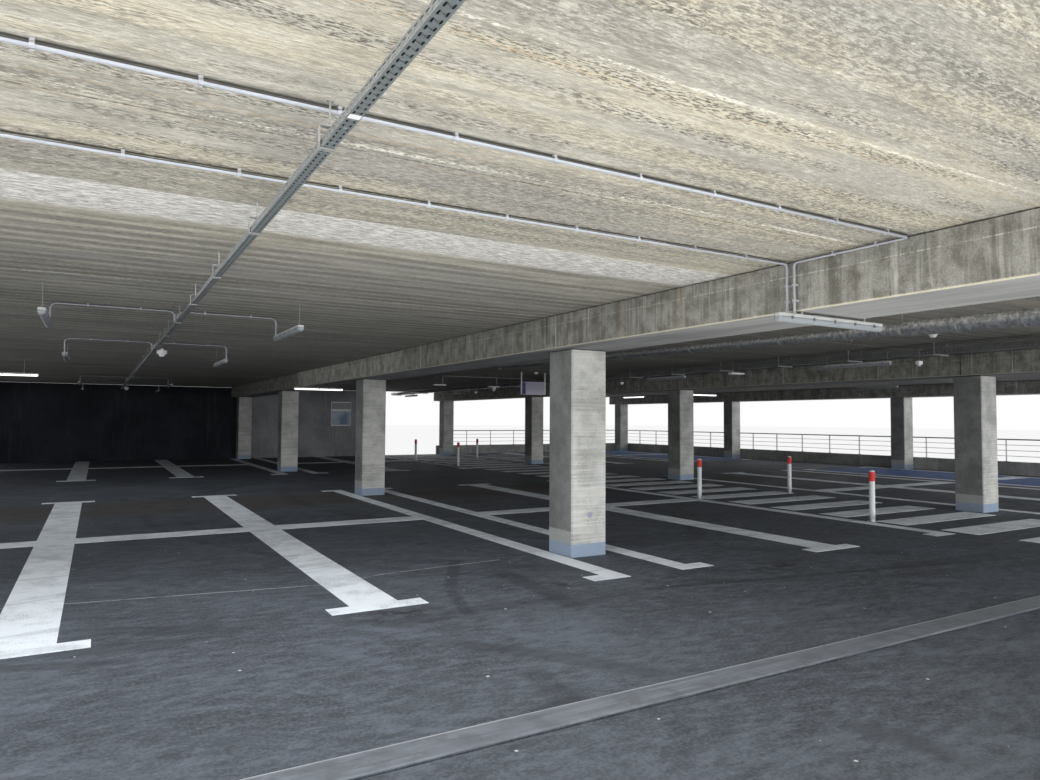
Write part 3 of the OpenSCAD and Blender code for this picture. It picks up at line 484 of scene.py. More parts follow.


# %% [markdown]
# ## Soffit
#
# The deck units were cast on a rough bed, and streaks run along each unit. Straw-coloured bands lie
# between grey ones. Every 0.2 m or so a line of dark flecks follows, like fish scales. White lime
# lines stand at the joints. In the west span one pale band of cleaner concrete lies across the first
# bay, and the units behind it are greyer. A painted shadow lies beside the two conduits. All of this
# is drawn with noise that is long in X and short in Y.

# %% Soffit finish
RIB_STEP = 0.215
LIME_LINES = [(1.97, 0.012), (3.15, 0.020), (4.39, 0.012), (7.30, 0.018), (8.62, 0.012),
              (11.05, 0.026), (18.95, 0.026)]
SCALY_ZONE = (0.10, 1.1, 1.0)
RUST_LINES = [(2.07, 0.014), (3.04, 0.018), (3.25, 0.010)]
PALE_BAND = (4.38, 4.95)
CONDUIT_SHADOW_HALF = 0.016


def nearest_line(recipe, value, lines):
    """How far value is from the nearest of the lines, in that line's half widths."""
    offs = [recipe.calc("DIVIDE", recipe.minus(value, at), half) for at, half in lines]
    best = recipe.calc("ABSOLUTE", offs[0])
    for off in offs[1:]:
        best = recipe.calc("MINIMUM", best, recipe.calc("ABSOLUTE", off))
    return best


soffit, r, place, facing = new_finish("cast_soffit", 0.86, specular=0.35)
axis = r.axes(place)
drift = r.minus(r.streaks(place, (0.35, 1.1, 1.0), 2.0), 0.5)
along = r.plus(r.plus(axis[1], EYE_BACK), r.times(drift, 0.13))
straw = r.ramp(r.streaks(place, (0.13, 2.9, 1.0), 3.0, 0.6, move=(3.0, 1.0, 0.0)), 0.40, 0.60)
front = r.ramp(along, 6.5, 3.6, 0.30, 1.0)
tone = r.mix(r.times(straw, front), (0.500, 0.480, 0.425), (0.670, 0.622, 0.495))
mottle = r.streaks(place, (2.6, 17.0, 1.0), 3.0, 0.75)
tone = r.over(tone, (0.76, 0.735, 0.66), r.ramp(mottle, 0.48, 0.66, 0.0, 0.50))
tone = r.over(tone, (0.32, 0.305, 0.262), r.ramp(mottle, 0.50, 0.30, 0.0, 0.55))
grey_patch = r.ramp(r.streaks(place, (0.30, 1.9, 1.0), 2.0, move=(7.0, 2.0, 0.0)), 0.50, 0.68)
tone = r.over(tone, (0.44, 0.432, 0.415), grey_patch, 0.60)
rib = r.calc("FRACT", r.calc("DIVIDE", along, RIB_STEP))
rib_line = r.near(rib, 0.5, 0.36)
broken = r.ramp(r.streaks(place, (0.55, 3.6, 1.0), 2.0, 0.6, move=(1.0, 5.0, 0.0)), 0.38, 0.58)
scales = r.streaks(place, (22.0, 88.0, 1.0), 2.0, 0.75)
fleck = r.ramp(scales, 0.48, 0.62)
fleck_share = r.times(fleck, r.plus(0.16, r.times(rib_line, broken, 0.84)))
tone = r.over(tone, (0.155, 0.146, 0.124), fleck_share)
pale_fleck = r.ramp(scales, 0.40, 0.26, 0.0, 0.55)
tone = r.over(tone, (0.86, 0.84, 0.77), pale_fleck)
zone = r.ramp(r.noise(r.stretch(place, SCALY_ZONE, (2.2, 6.4, 0.0)), 1.0, 2.0, 0.6, flat=True), 0.47, 0.62)
grit = r.streaks(place, (17.0, 54.0, 1.0), 3.0, 0.8)
tone = r.over(tone, (0.190, 0.182, 0.160), zone, r.ramp(grit, 0.44, 0.60), 0.70)
comb = r.streaks(place, (13.0, 150.0, 1.0), 3.0, 0.75)
tone = r.over(tone, (0.24, 0.23, 0.20), r.ramp(comb, 0.44, 0.66, 0.0, 0.55))
behind = r.ramp(along, PALE_BAND[1] - 0.02, PALE_BAND[1] + 0.08)
back_rib = r.times(r.near(rib, 0.5, 0.44), r.ramp(broken, 0.0, 1.0, 0.45, 1.0))
tone = r.over(tone, (0.235, 0.227, 0.205), behind, r.times(back_rib, 0.62))
band = r.times(r.ramp(along, PALE_BAND[0] - 0.01, PALE_BAND[0] + 0.02),
               r.ramp(along, PALE_BAND[1] + 0.05, PALE_BAND[1] - 0.05))
west = r.ramp(axis[0], row_x[1] + 0.1, row_x[1] - 0.1)
strokes = r.streaks(place, (9.0, 62.0, 1.0), 3.0, 0.8)
band_tone = r.mix(r.ramp(strokes, 0.40, 0.60), (0.88, 0.865, 0.835), (0.43, 0.42, 0.395))
tone = r.over(tone, band_tone, band, west)
tone = r.over(tone, (0.215, 0.208, 0.188), r.minus(1.0, west), 0.45)
rust = r.use(crust, Place=r.stretch(place, (1.0, 1.0, 1.0), (5.0, 0.0, 0.0)),
             Off=nearest_line(r, along, RUST_LINES), Gaps=0.46)[0]
tone = r.over(tone, (0.54, 0.41, 0.26), rust, 0.36)
lime = r.use(crust, Place=place, Off=nearest_line(r, along, LIME_LINES), Gaps=0.49)[0]
tone = r.over(tone, (0.88, 0.86, 0.80), lime, 0.8)
# The dark line on the soffit beside each conduit run is a painted shadow of the conduit.
run_low, run_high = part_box("ceiling_conduits")
far_sides = (run_low.y + 0.032, run_high.y - 0.004)
conduit_shadow = r.most(*[r.near(axis[1], y, CONDUIT_SHADOW_HALF) for y in far_sides])
conduit_shadow = r.times(conduit_shadow, r.calc("LESS_THAN", axis[0], run_high.x))
tone = r.over(tone, (0.06, 0.058, 0.052), conduit_shadow, 0.90)
end_finish(soffit, tone, height=scales, depth=0.010)
dress(soffit, "deck_units_west", "deck_units_mid", "deck_units_east")

# %% [markdown]
# ## Floor
#
# The floor slab is dark concrete, trowelled by machine. It is cloudy on a large scale, swept pale in
# wide bent strokes, and marked by wheels: long arcs where cars turn into the bays. The upper deck is
# the same concrete. Three oily stains, straight tyre marks, a thin chalk line and brown dust in one
# aisle lie only on the floor below, so they are kept under the height of the soffit.

# %% Floor finish
WHEEL_ARCS = [((2.3, 12.4), 6.9, 0.20), ((2.3, 12.4), 7.25, 0.10), ((9.6, 13.2), 8.4, 0.22),
              ((9.6, 13.2), 8.9, 0.12), ((-2.0, 1.0), 5.7, 0.16), ((14.0, 14.5), 10.6, 0.20)]
STAINS = [((6.60, 5.58), 0.62, (0.55, 1.5, 1.0)), ((2.15, 5.72), 0.55, (0.8, 1.9, 1.0)),
          ((3.98, 5.95), 0.22, (0.6, 1.6, 1.0))]
CHALK_LINE = [(-1.9, 7.66), (-0.60, 7.47), (1.99, 7.06), (2.62, 7.27), (4.02, 7.36)]
TYRE_LINES = [((3.57, 7.60), (2.91, 6.30), 0.09), ((2.91, 6.30), (2.67, 5.40), 0.08),
              ((3.72, 6.85), (3.60, 5.10), 0.16), ((2.45, 4.10), (2.31, 3.20), 0.14),
              ((4.49, 5.44), (9.54, 4.53), 0.07)]


def stroke(recipe, place, start, stop, half):
    """1 on a straight stroke between two places on the floor, half wide to each side."""
    way = Vector(stop) - Vector(start)
    moved = recipe.node("ShaderNodeVectorMath", {0: place, 1: (*start, 0.0)},
                        operation="SUBTRACT").outputs[0]
    spun = recipe.node("ShaderNodeVectorRotate", {"Vector": moved, "Angle": -math.atan2(way.y, way.x)},
                       rotation_type="Z_AXIS")
    axis = recipe.axes(spun.outputs[0])
    inside = recipe.times(recipe.ramp(axis[0], 0.0, half),
                          recipe.ramp(axis[0], way.length, way.length - half))
    return recipe.times(recipe.near(axis[1], 0.0, half), inside)


ground, r, place, facing = new_finish("trowelled_floor", 0.7, specular=0.14)
spot_place = r.stretch(place, (1.0, 1.0, 0.0), (EYE_ASIDE, EYE_BACK, 0.0))
cloud = r.ramp(r.noise(spot_place, 0.8, 4.0, 0.66, flat=True), 0.32, 0.68)
tone = r.mix(cloud, (0.062, 0.070, 0.082), (0.092, 0.104, 0.122))
wear = r.use(scuffs, Place=spot_place, Bend=1.6, Turn=0.45)
tone = r.over(tone, (0.165, 0.187, 0.228), wear["Pale"], 0.34)
tone = r.over(tone, (0.046, 0.050, 0.057), wear["Dark"], 0.36)
fine = r.noise(spot_place, 42.0, 2.0, 0.7, flat=True)
tone = r.over(tone, (0.175, 0.190, 0.215), r.ramp(fine, 0.34, 0.70, 0.0, 0.34))
rubbed = r.streaks(spot_place, (5.0, 12.0, 1.0), 4.0, 0.78, turn=0.5)
tone = r.over(tone, (0.170, 0.190, 0.225), r.ramp(rubbed, 0.50, 0.64, 0.0, 0.32))
tone = r.over(tone, (0.044, 0.048, 0.055), r.ramp(rubbed, 0.46, 0.34, 0.0, 0.42))
lower = r.calc("LESS_THAN", r.axes(place)[2], soffit_z)
aisle_dust = r.times(r.near(r.axes(spot_place)[1], 14.65, 1.7), lower)
tone = r.over(tone, (0.092, 0.082, 0.072), aisle_dust, 0.60)
patchy = r.ramp(r.streaks(spot_place, (0.5, 1.1, 1.0), 2.0, 0.6, move=(3.0, 8.0, 0.0)), 0.40, 0.58)
arcs = []
for centre, radius, half in WHEEL_ARCS:
    reach = r.node("ShaderNodeVectorMath", {0: spot_place, 1: (*centre, 0.0)},
                   operation="DISTANCE").outputs["Value"]
    arcs.append(r.near(reach, radius, half))
tone = r.over(tone, (0.045, 0.048, 0.053), r.most(*arcs), patchy, r.ramp(fine, 0.35, 0.6, 0.22, 0.42))
tyre = r.most(*[stroke(r, spot_place, *line) for line in TYRE_LINES])
tone = r.over(tone, (0.036, 0.038, 0.042), tyre, lower, 0.60, r.ramp(fine, 0.30, 0.62))
blot = r.ramp(r.noise(spot_place, 5.0, 3.0, 0.65, flat=True), 0.38, 0.62)
blots = [r.spot(spot_place, (*centre, 0.0), radius, squash) for centre, radius, squash in STAINS]
oil = r.times(r.most(*blots), lower)
tone = r.over(tone, (0.024, 0.024, 0.022), oil, blot, 0.80)
tone = r.over(tone, (0.62, 0.63, 0.64), wear["Specks"], 0.8)
chalk = r.most(*[stroke(r, spot_place, a, b, 0.011) for a, b in zip(CHALK_LINE, CHALK_LINE[1:])])
tone = r.over(tone, (0.55, 0.57, 0.60), chalk, lower, r.ramp(rubbed, 0.34, 0.48, 0.2, 0.75))
rough = r.plus(r.ramp(cloud, 0.0, 1.0, 0.62, 0.78), r.times(oil, -0.15))
end_finish(ground, tone, roughness=rough, height=fine, depth=0.0012)
dress(ground, "ground_slab", "deck_topping")

# %% [markdown]
# The strip beside the movement joint is a smooth steel-grey profile with a rubber seal. It is paler
# than the floor, scratched lengthwise, and carries a painted highlight along its far edge.

# %% Joint strip finish
strip, r, place, facing = new_finish("joint_strip", 0.42, specular=0.5)
high_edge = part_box("movement_joint_strips")[1].y
across = r.axes(place)[1]
scratch = r.streaks(place, (1.2, 60.0, 1.0), 2.0, 0.65)
tone = r.mix(r.ramp(scratch, 0.30, 0.70), (0.140, 0.154, 0.176), (0.205, 0.223, 0.252))
dirt = r.ramp(r.noise(place, 5.0, 3.0, 0.65, flat=True), 0.42, 0.66)
tone = r.over(tone, (0.100, 0.107, 0.118), dirt, 0.50)
# A pale line along the far edge: a painted highlight where the edge would catch the light.
edge_highlight = r.times(r.ramp(across, high_edge - 0.026, high_edge - 0.008), r.ramp(scratch, 0.2, 0.6, 0.5, 1.0))
tone = r.over(tone, (0.60, 0.63, 0.67), edge_highlight, 0.75)
end_finish(strip, tone, roughness=r.ramp(scratch, 0.3, 0.7, 0.34, 0.55), height=scratch, depth=0.0008)
dress(strip, "movement_joint_strips")

# %% [markdown]
# ## Paint on the floor
#
# Road paint is thin: the floor's grain shows through, wheels leave grey arcs on it, and dirt settles
# in it. White paint, and the blue of the bays for disabled drivers, differ only in their two colours.

# %% Paint finishes


def road_paint(name, clean, dirty, fade):
    """Worn road paint between a clean and a dirty colour."""
    paint, r, place, facing = new_finish(name, 0.72, specular=0.2)
    wear = r.use(scuffs, Place=place, Bend=2.2, Turn=1.1)
    blotch = r.noise(place, 2.1, 5.0, 0.70, flat=True)
    grain = r.noise(place, 70.0, 1.0, 0.7, flat=True)
    tone = r.mix(r.ramp(blotch, 0.44, 0.66, 0.0, 0.34), clean, dirty)
    tone = r.over(tone, dirty, wear["Dark"], fade)
    through = r.times(r.ramp(grain, 0.60, 0.70), r.ramp(blotch, 0.4, 0.7, 0.10, 0.8))
    tone = r.over(tone, (0.13, 0.14, 0.155), through)
    return end_finish(paint, tone, height=grain, depth=0.0008)


white_paint = road_paint("white_paint", (0.86, 0.91, 0.96), (0.46, 0.49, 0.53), 0.42)
blue_paint = road_paint("blue_paint", (0.060, 0.120, 0.310), (0.085, 0.115, 0.180), 0.50)
dress(white_paint, "bay_lines", "walkway_stripes", "upper_markings")
dress(blue_paint, "blue_bays", "upper_blue_bays")

# %% [markdown]
# ## Columns
#
# The column faces towards the front were cast against boards: fine level lines, paler near the foot,
# with round pits. The side faces are smoother and cloudier. The front faces are painted much lighter
# than the side faces, as painted light from the front. All stand in a painted plinth, blue-grey
# and crisp along its upper edge, and the side faces have a rubbed band above it.

# %% Column finish
PLINTH = 0.15
RUBBED = 0.30
PATCH = (row_x[1] + 0.01, line_y[1] - column_half, floor_z + 0.48)

column, r, place, facing = new_finish("board_marked_column", 0.82, specular=0.35)
axis = r.axes(place)
turn = r.axes(facing)
front_face = r.ramp(r.calc("ABSOLUTE", turn[1]), 0.5, 0.8)
rise = r.minus(axis[2], floor_z)
skin = r.use(cast_skin, Place=place, Dark=(0.185, 0.187, 0.178), Pale=(0.300, 0.302, 0.290), Cloud_Size=2.1,
             Grain=0.22, Pits=0.70)
boards = r.streaks(place, (1.4, 1.4, 58.0), 2.0, 0.6, flat=False)
# Front faces lighter and side faces darker: painted light from the front, on top of the concrete's colour.
front_painted_light = r.mix(front_face, (0.88, 0.89, 0.90), (1.70, 1.70, 1.68))
tone = r.mix(1.0, skin["Colour"], front_painted_light, "MULTIPLY")
board_share = r.times(r.ramp(boards, 0.48, 0.66), r.ramp(rise, 2.1, 0.3, 0.20, 0.65))
tone = r.over(tone, (0.66, 0.665, 0.66), board_share, r.times(front_face, 0.75))
tone = r.over(tone, (0.24, 0.235, 0.215), r.ramp(boards, 0.38, 0.30), r.times(front_face, 0.45))
rubbed = r.times(r.ramp(rise, RUBBED + 0.004, RUBBED - 0.004), r.ramp(skin["Grain"], 0.3, 0.6, 0.6, 1.0))
tone = r.over(tone, (0.46, 0.462, 0.45), rubbed, r.ramp(front_face, 0.0, 1.0, 0.75, 0.25))
painted = r.ramp(rise, PLINTH + 0.001, PLINTH - 0.001)
paint_tone = r.mix(r.ramp(skin["Grain"], 0.35, 0.65), (0.240, 0.300, 0.395), (0.290, 0.355, 0.455))
tone = r.over(tone, paint_tone, painted)
patch_off = r.node("ShaderNodeVectorMath", {0: place, 1: PATCH}, operation="DISTANCE").outputs["Value"]
tone = r.over(tone, (0.25, 0.29, 0.37), r.ramp(patch_off, 0.037, 0.034), 0.85)
rough = r.ramp(painted, 0.0, 1.0, 0.84, 0.48)
end_finish(column, tone, roughness=rough, height=r.plus(skin["Grain"], r.times(boards, front_face)),
           depth=0.0016)
dress(column, *row_names)

# %% [markdown]
# ## Beams
#
# The beams' faces are cloudy grey with faint streaks from top to bottom, and a few white and rusty
# runs from the joints above. Their undersides came off smooth steel forms, so they are pale and even.

# %% Beam finish
RUST_RUNS = [(5.02, 0.030), (5.86, 0.018), (6.92, 0.014), (9.85, 0.024), (13.3, 0.022), (18.6, 0.03),
             (24.2, 0.02)]
WHITE_RUNS = [(2.92, 0.035), (6.44, 0.012), (7.10, 0.016), (8.9, 0.014), (11.2, 0.03), (16.3, 0.018),
              (20.4, 0.02)]

beam, r, place, facing = new_finish("streaked_beam", 0.84, specular=0.35)
axis = r.axes(place)
turn = r.axes(facing)
under = r.ramp(turn[2], -0.75, -0.95)
skin = r.use(cast_skin, Place=place, Dark=(0.165, 0.160, 0.138), Pale=(0.330, 0.324, 0.294), Cloud_Size=5.0,
             Grain=0.95, Pits=0.80)
pale_run = r.use(runs, Place=place, Width=44.0, Length=2.4, Least=0.47)[0]
tone = r.mix(r.times(pale_run, 0.34), skin["Colour"], (0.50, 0.495, 0.46))
dark_run = r.use(runs, Place=r.stretch(place, (1.0, 1.0, 1.0), (5.0, 5.0, 2.0)), Width=22.0, Length=1.6,
                 Least=0.48)[0]
tone = r.over(tone, (0.120, 0.116, 0.098), dark_run, 0.50)
fray = r.streaks(place, (1.0, 24.0, 3.0), 2.0, flat=False)
edge_place = r.plus(r.plus(axis[1], EYE_BACK), r.times(r.minus(fray, 0.5), 0.03))
thin_out = r.ramp(fray, 0.36, 0.60, 0.25, 1.0)
white_marks = r.ramp(nearest_line(r, edge_place, WHITE_RUNS), 1.0, 0.35)
tone = r.over(tone, (0.70, 0.69, 0.64), white_marks, thin_out, 0.55)
rust_marks = r.ramp(nearest_line(r, edge_place, RUST_RUNS), 1.0, 0.35)
tone = r.over(tone, (0.44, 0.31, 0.17), rust_marks, thin_out, 0.60)
rise = r.minus(axis[2], beam_low)
pour_line = r.times(r.near(rise, 0.275, 0.006), r.ramp(pale_run, 0.0, 0.5, 0.15, 0.7))
tone = r.over(tone, (0.60, 0.59, 0.54), pour_line)
arris = r.times(r.ramp(rise, 0.013, 0.007), r.ramp(skin["Grain"], 0.25, 0.6, 0.65, 0.95))
tone = r.over(tone, (0.56, 0.52, 0.41), arris)
veil = r.streaks(place, (3.0, 0.5, 1.0), 2.0, 0.6)
under_tone = r.mix(r.ramp(veil, 0.35, 0.7), (0.250, 0.255, 0.256), (0.335, 0.340, 0.338))
tone = r.over(tone, under_tone, under)
end_finish(beam, tone, height=skin["Grain"], depth=0.0016)
dress(beam, *["beams_row_%d" % k for k in range(1, 5)])

# %% [markdown]
# Bearing pads and strips are black rubber with a dusty bloom. They show as the dark line between the
# beams and the deck.

# %% Rubber finish
rubber, r, place, facing = new_finish("bearing_rubber", 0.75, specular=0.3)
bloom = r.ramp(r.noise(place, 9.0, 3.0, 0.6), 0.45, 0.75)
end_finish(rubber, r.mix(r.times(bloom, 0.5), (0.012, 0.012, 0.013), (0.055, 0.052, 0.047)))
dress(rubber, "bearing_pads")

# %% [markdown]
# ## Edges and end walls
#
# Upstands and walls are the same family of cast concrete, only darker, with runs from their tops.
# The wall in the far left corner is coated dark blue-grey, and its colour is made darker still as painted
# shade of that far corner.

# %% Wall finishes


def wall_finish(name, dark, pale, run_tone, cloud_size):
    """Cast concrete with runs from the top."""
    wall, r, place, facing = new_finish(name, 0.85, specular=0.35)
    skin = r.use(cast_skin, Place=place, Dark=dark, Pale=pale, Cloud_Size=cloud_size, Grain=0.25, Pits=0.5)
    wet = r.use(runs, Place=place, Width=8.0, Length=0.9, Least=0.50)[0]
    tone = r.mix(r.times(wet, 0.5), skin["Colour"], run_tone)
    return end_finish(wall, tone, height=skin["Grain"], depth=0.0015)


edge_concrete = wall_finish("edge_concrete", (0.235, 0.238, 0.235), (0.380, 0.383, 0.375),
                            (0.50, 0.50, 0.48), 1.3)
# The far left wall: dark blue-grey coating, made nearly black as painted shade of the far corner.
dark_wall = wall_finish("dark_wall", (0.016, 0.019, 0.024), (0.026, 0.031, 0.038), (0.042, 0.047, 0.054),
                        0.7)
grey_wall = wall_finish("grey_wall", (0.200, 0.206, 0.212), (0.285, 0.292, 0.300), (0.34, 0.345, 0.35), 0.9)
dress(edge_concrete, "floor_upstands", "upper_upstands")
dress(dark_wall, "end_wall_west")
dress(grey_wall, "end_wall_mid")

# %% [markdown]
# ## Words for modelling by hand
#
# The services near the camera are modelled: a primitive is added, then extruded, cut, inset and
# bevelled in edit mode, just as one would with the mouse. These helpers only save typing. Each new
# primitive has its place applied at once, so that its mesh is in the building's metres.

# %% Adding, picking and shaping
import bmesh


def begin(kind, name, **settings):
    """A primitive with nothing else selected and its place applied to its mesh."""
    bpy.ops.object.select_all(action="DESELECT")
    getattr(bpy.ops.mesh, "primitive_%s_add" % kind)(**settings)
    bpy.ops.object.transform_apply(location=True, rotation=True, scale=True)
    piece = bpy.context.active_object
    piece.name = name
    return piece


def block(name, low, high):
    """A box from corner to corner, ready to be shaped."""
    middle = [(a + b) / 2 for a, b in zip(low, high)]
    return begin("cube", name, size=1.0, location=middle, scale=[b - a for a, b in zip(low, high)])


def stood(name, x, y, half_x, half_y, low, high):
    """A box with its middle line at x and y, from low to high."""
    return block(name, (x - half_x, y - half_y, low), (x + half_x, y + half_y, high))


def sheet(name, wide, long, middle=(0.0, 0.0, 0.0)):
    """A flat sheet of the given size, all of it selected in edit mode."""
    piece = begin("plane", name, size=1.0)
    edit(piece)
    bpy.ops.mesh.select_all(action="SELECT")
    squeeze(wide, long)
    bpy.ops.transform.translate(value=middle)
    return piece


def round_corners(piece, offset, segments=3):
    """Bevels the upright edges, and stays in edit mode."""
    edit(piece)
    pick("EDGE", aligned(Z))
    bpy.ops.mesh.bevel(offset=offset, segments=segments, affect="EDGES")


def edit(piece, kind="FACE"):
    """Edit mode on one piece, with nothing selected in it."""
    bpy.ops.object.select_all(action="DESELECT")
    piece.select_set(True)
    bpy.context.view_layer.objects.active = piece
    bpy.ops.object.mode_set(mode="EDIT")
    bpy.ops.mesh.select_mode(type=kind)
    bpy.ops.mesh.select_all(action="DESELECT")


def aligned(axis, way=0):
    """A rule for pick: faces that look, or edges that run, along an axis, either way or one way."""
    return lambda m, n: (n[axis] * way if way else abs(n[axis])) > 0.9


def pick(kind, rule):
    """Selects what passes the rule. It is given a face's middle and normal, or an edge's middle and run."""
    bpy.ops.mesh.select_all(action="DESELECT")
    bpy.ops.mesh.select_mode(type=kind)
    data = bpy.context.active_object.data
    shape = bmesh.from_edit_mesh(data)
    if kind == "FACE":
        rows = [(f, f.calc_center_median(), f.normal) for f in shape.faces]
    else:
        ends = [(e, e.verts[0].co, e.verts[1].co) for e in shape.edges]
        rows = [(e, (a + b) / 2, (b - a).normalized()) for e, a, b in ends]
    for item, middle, way in rows:
        if rule(middle, way):
            item.select = True
    shape.select_flush_mode()
    bmesh.update_edit_mesh(data)


def pull(x=0.0, y=0.0, z=0.0):
    """Extrudes what is selected and moves it."""
    bpy.ops.mesh.extrude_region_move(TRANSFORM_OT_translate={"value": (x, y, z)})


def squeeze(x=1.0, y=1.0, z=1.0, centre=(0.0, 0.0, 0.0)):
    """Scales what is selected about a place."""
    bpy.ops.transform.resize(value=(x, y, z), center_override=centre)


def cut(axis, places, rule=lambda m, n: True):
    """Cuts the faces that pass the rule at places along an axis."""
    way = [1.0 if axis == k else 0.0 for k in range(3)]
    for at in places:
        pick("FACE", rule)
        bpy.ops.mesh.bisect(plane_co=[w * at for w in way], plane_no=way)


def open_up(rule):
    """Deletes the faces that pass the rule."""
    pick("FACE", rule)
    bpy.ops.mesh.delete(type="FACE")


def inset(rule, thickness, **settings):
    """Insets the faces that pass the rule, and leaves the inner ones selected."""
    pick("FACE", rule)
    bpy.ops.mesh.inset(thickness=thickness, **settings)


def leave():
    bpy.ops.object.mode_set(mode="OBJECT")


def modify(piece, kind, **settings):
    """Adds one modifier and applies it."""
    bpy.ops.object.select_all(action="DESELECT")
    piece.select_set(True)
    bpy.context.view_layer.objects.active = piece
    modifier = piece.modifiers.new(kind.title(), kind)
    for key, value in settings.items():
        setattr(modifier, key, value)
    bpy.ops.object.modifier_apply(modifier=modifier.name)
    return piece


def soften(piece, width, segments=2, angle=35.0):
    """Rounded edges, so that each edge catches some light."""
    return modify(piece, "BEVEL", width=width, segments=segments, angle_limit=math.radians(angle))


def copy_of(piece, place=(0.0, 0.0, 0.0), turn=0.0, mirror=False):
    """A copy with its own mesh, turned about Z and moved."""
    other = piece.copy()
    other.data = piece.data.copy()
    bpy.context.scene.collection.objects.link(other)
    flip = Matrix.Diagonal((-1.0, 1.0, 1.0, 1.0)) if mirror else Matrix.Identity(4)
    other.data.transform(Matrix.Translation(place) @ Matrix.Rotation(turn, 4, "Z") @ flip)
    if mirror:
        other.data.flip_normals()
    return other


def joined(name, parts, smooth=35.0):
    """One piece from several, shaded smooth except at its sharp edges."""
    bpy.ops.object.select_all(action="DESELECT")
    for part in parts:
        part.select_set(True)
    bpy.context.view_layer.objects.active = parts[0]
    if len(parts) > 1:
        bpy.ops.object.join()
    piece = bpy.context.active_object
    piece.name = name
    piece.data.name = name
    if smooth:
        bpy.ops.object.shade_smooth_by_angle(angle=math.radians(smooth))
    return piece


def paint(piece, material):
    piece.data.materials.clear()
    piece.data.materials.append(material)
    return piece


def drop(*pieces):
    for piece in pieces:
        bpy.data.objects.remove(piece)


def done(name, parts, finish, slot, *replaced, smooth=35.0):
    """Joins the parts into one finished piece, which rides on the building and stands for its CAD nodes."""
    piece = joined(name, parts, smooth)
    if finish:
        paint(piece, finish)
    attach(piece, "root")
    if replaced:
        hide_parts(*replaced)
    triangles = sum(len(f.vertices) - 2 for f in piece.data.polygons)
    print("piece", piece.name, triangles, "triangles")


# %% [markdown]
# Tube is the other shape that the services share. A ring is extruded along each straight stretch and
# spun round each corner, which is how a conduit is bent over a former.

# %% Tubes with bends


def tube(name, points, radius, bend=0.0, sides=12):
    """A closed tube through the points, with spun bends of the given radius."""
    points = [Vector(p) for p in points]
    ways = [(b - a).normalized() for a, b in zip(points, points[1:])]
    piece = begin("circle", name, vertices=sides, radius=radius, location=points[0],
                  rotation=ways[0].to_track_quat("Z", "Y").to_euler())
    edit(piece, "EDGE")
    bpy.ops.mesh.select_all(action="SELECT")
    at = points[0]
    for k, way in enumerate(ways):
        last = k == len(ways) - 1
        turn = 0.0 if last else way.angle(ways[k + 1])
        corner = points[k + 1]
        stop = corner - way * (bend * math.tan(turn / 2))
        pull(*(stop - at))
        at = stop
        if not last and turn > 0.001:
            axis = way.cross(ways[k + 1]).normalized()
            centre = at + axis.cross(way) * bend
            bpy.ops.mesh.spin(steps=max(2, int(turn * 4)), dupli=False, angle=-turn, center=centre,
                              axis=axis)
            at = corner + ways[k + 1] * (bend * math.tan(turn / 2))
    for end, way in ((points[0], ways[0]), (points[-1], ways[-1])):
        pick("EDGE", lambda m, w: (m - end).length < radius * 1.01 and abs((m - end).dot(way)) < 1e-5)
        bpy.ops.mesh.edge_face_add()
    bpy.ops.mesh.select_all(action="SELECT")
    bpy.ops.mesh.remove_doubles(threshold=0.00005)
    bpy.ops.mesh.normals_make_consistent(inside=False)
    leave()
    return piece


def rod(name, x, y, low, high, radius, sides=10):
    return begin("cylinder", name, vertices=sides, radius=radius, depth=high - low,
                 location=(x, y, (low + high) / 2))


def nut(name, x, y, z, across, height):
    """A hexagon nut with rounded edges, its middle at z."""
    piece = begin("cylinder", name, vertices=6, radius=across * 0.577, depth=height, location=(x, y, z))
    return soften(piece, height * 0.14, 1)


# %% [markdown]
# ## Metal and plastic finishes
#
# Zinc on steel grows in flat crystals that reflect a little differently from each other, and dulls to
# a dusty grey. Trays, rods and railings all have it, so the crystals and the dust are one effect.

# %% Zinc
zinc_skin, r, feed, give = new_effect(
    "zinc_skin",
    {"Place": ("vector", None), "Size": ("value", 90.0), "Dark": ("colour", (0.3, 0.3, 0.3, 1.0)),
     "Pale": ("colour", (0.5, 0.5, 0.5, 1.0)), "Dust": ("value", 0.4)},
    {"Colour": "colour", "Rough": "value"})
crystal = r.axes(r.cells(feed["Place"], feed["Size"])["Color"])
tone = r.mix(crystal[0], feed["Dark"], feed["Pale"])
film = r.ramp(r.noise(feed["Place"], 3.0, 3.0, 0.65), 0.38, 0.68)
give("Colour", r.mix(r.times(film, feed["Dust"]), tone, (0.34, 0.335, 0.32)))
give("Rough", r.plus(r.plus(0.32, r.times(crystal[1], 0.12)), r.times(film, 0.28)))
UNDERSIDE_SHADE_TINT = (0.76, 0.82, 0.84)


def zinc_finish(name, size, dark, pale, dust, metal=0.75):
    zinc, r, place, facing = new_finish(name, 0.4, metal)
    skin = r.use(zinc_skin, Place=place, Size=size, Dark=dark, Pale=pale, Dust=dust)
    grain = r.noise(place, 160.0, 1.0, 0.6)
    # Faces that look down are painted darker and bluer: a painted shade on the undersides.
    under = r.ramp(r.axes(facing)[2], -0.6, -0.9, 0.0, 1.0)
    tone = r.mix(under, skin["Colour"], r.mix(1.0, skin["Colour"], UNDERSIDE_SHADE_TINT, "MULTIPLY"))
    return end_finish(zinc, tone, roughness=skin["Rough"], height=grain, depth=0.0003)


tray_zinc = zinc_finish("tray_zinc", 140.0, (0.23, 0.245, 0.25), (0.31, 0.325, 0.33), 0.40, 0.35)
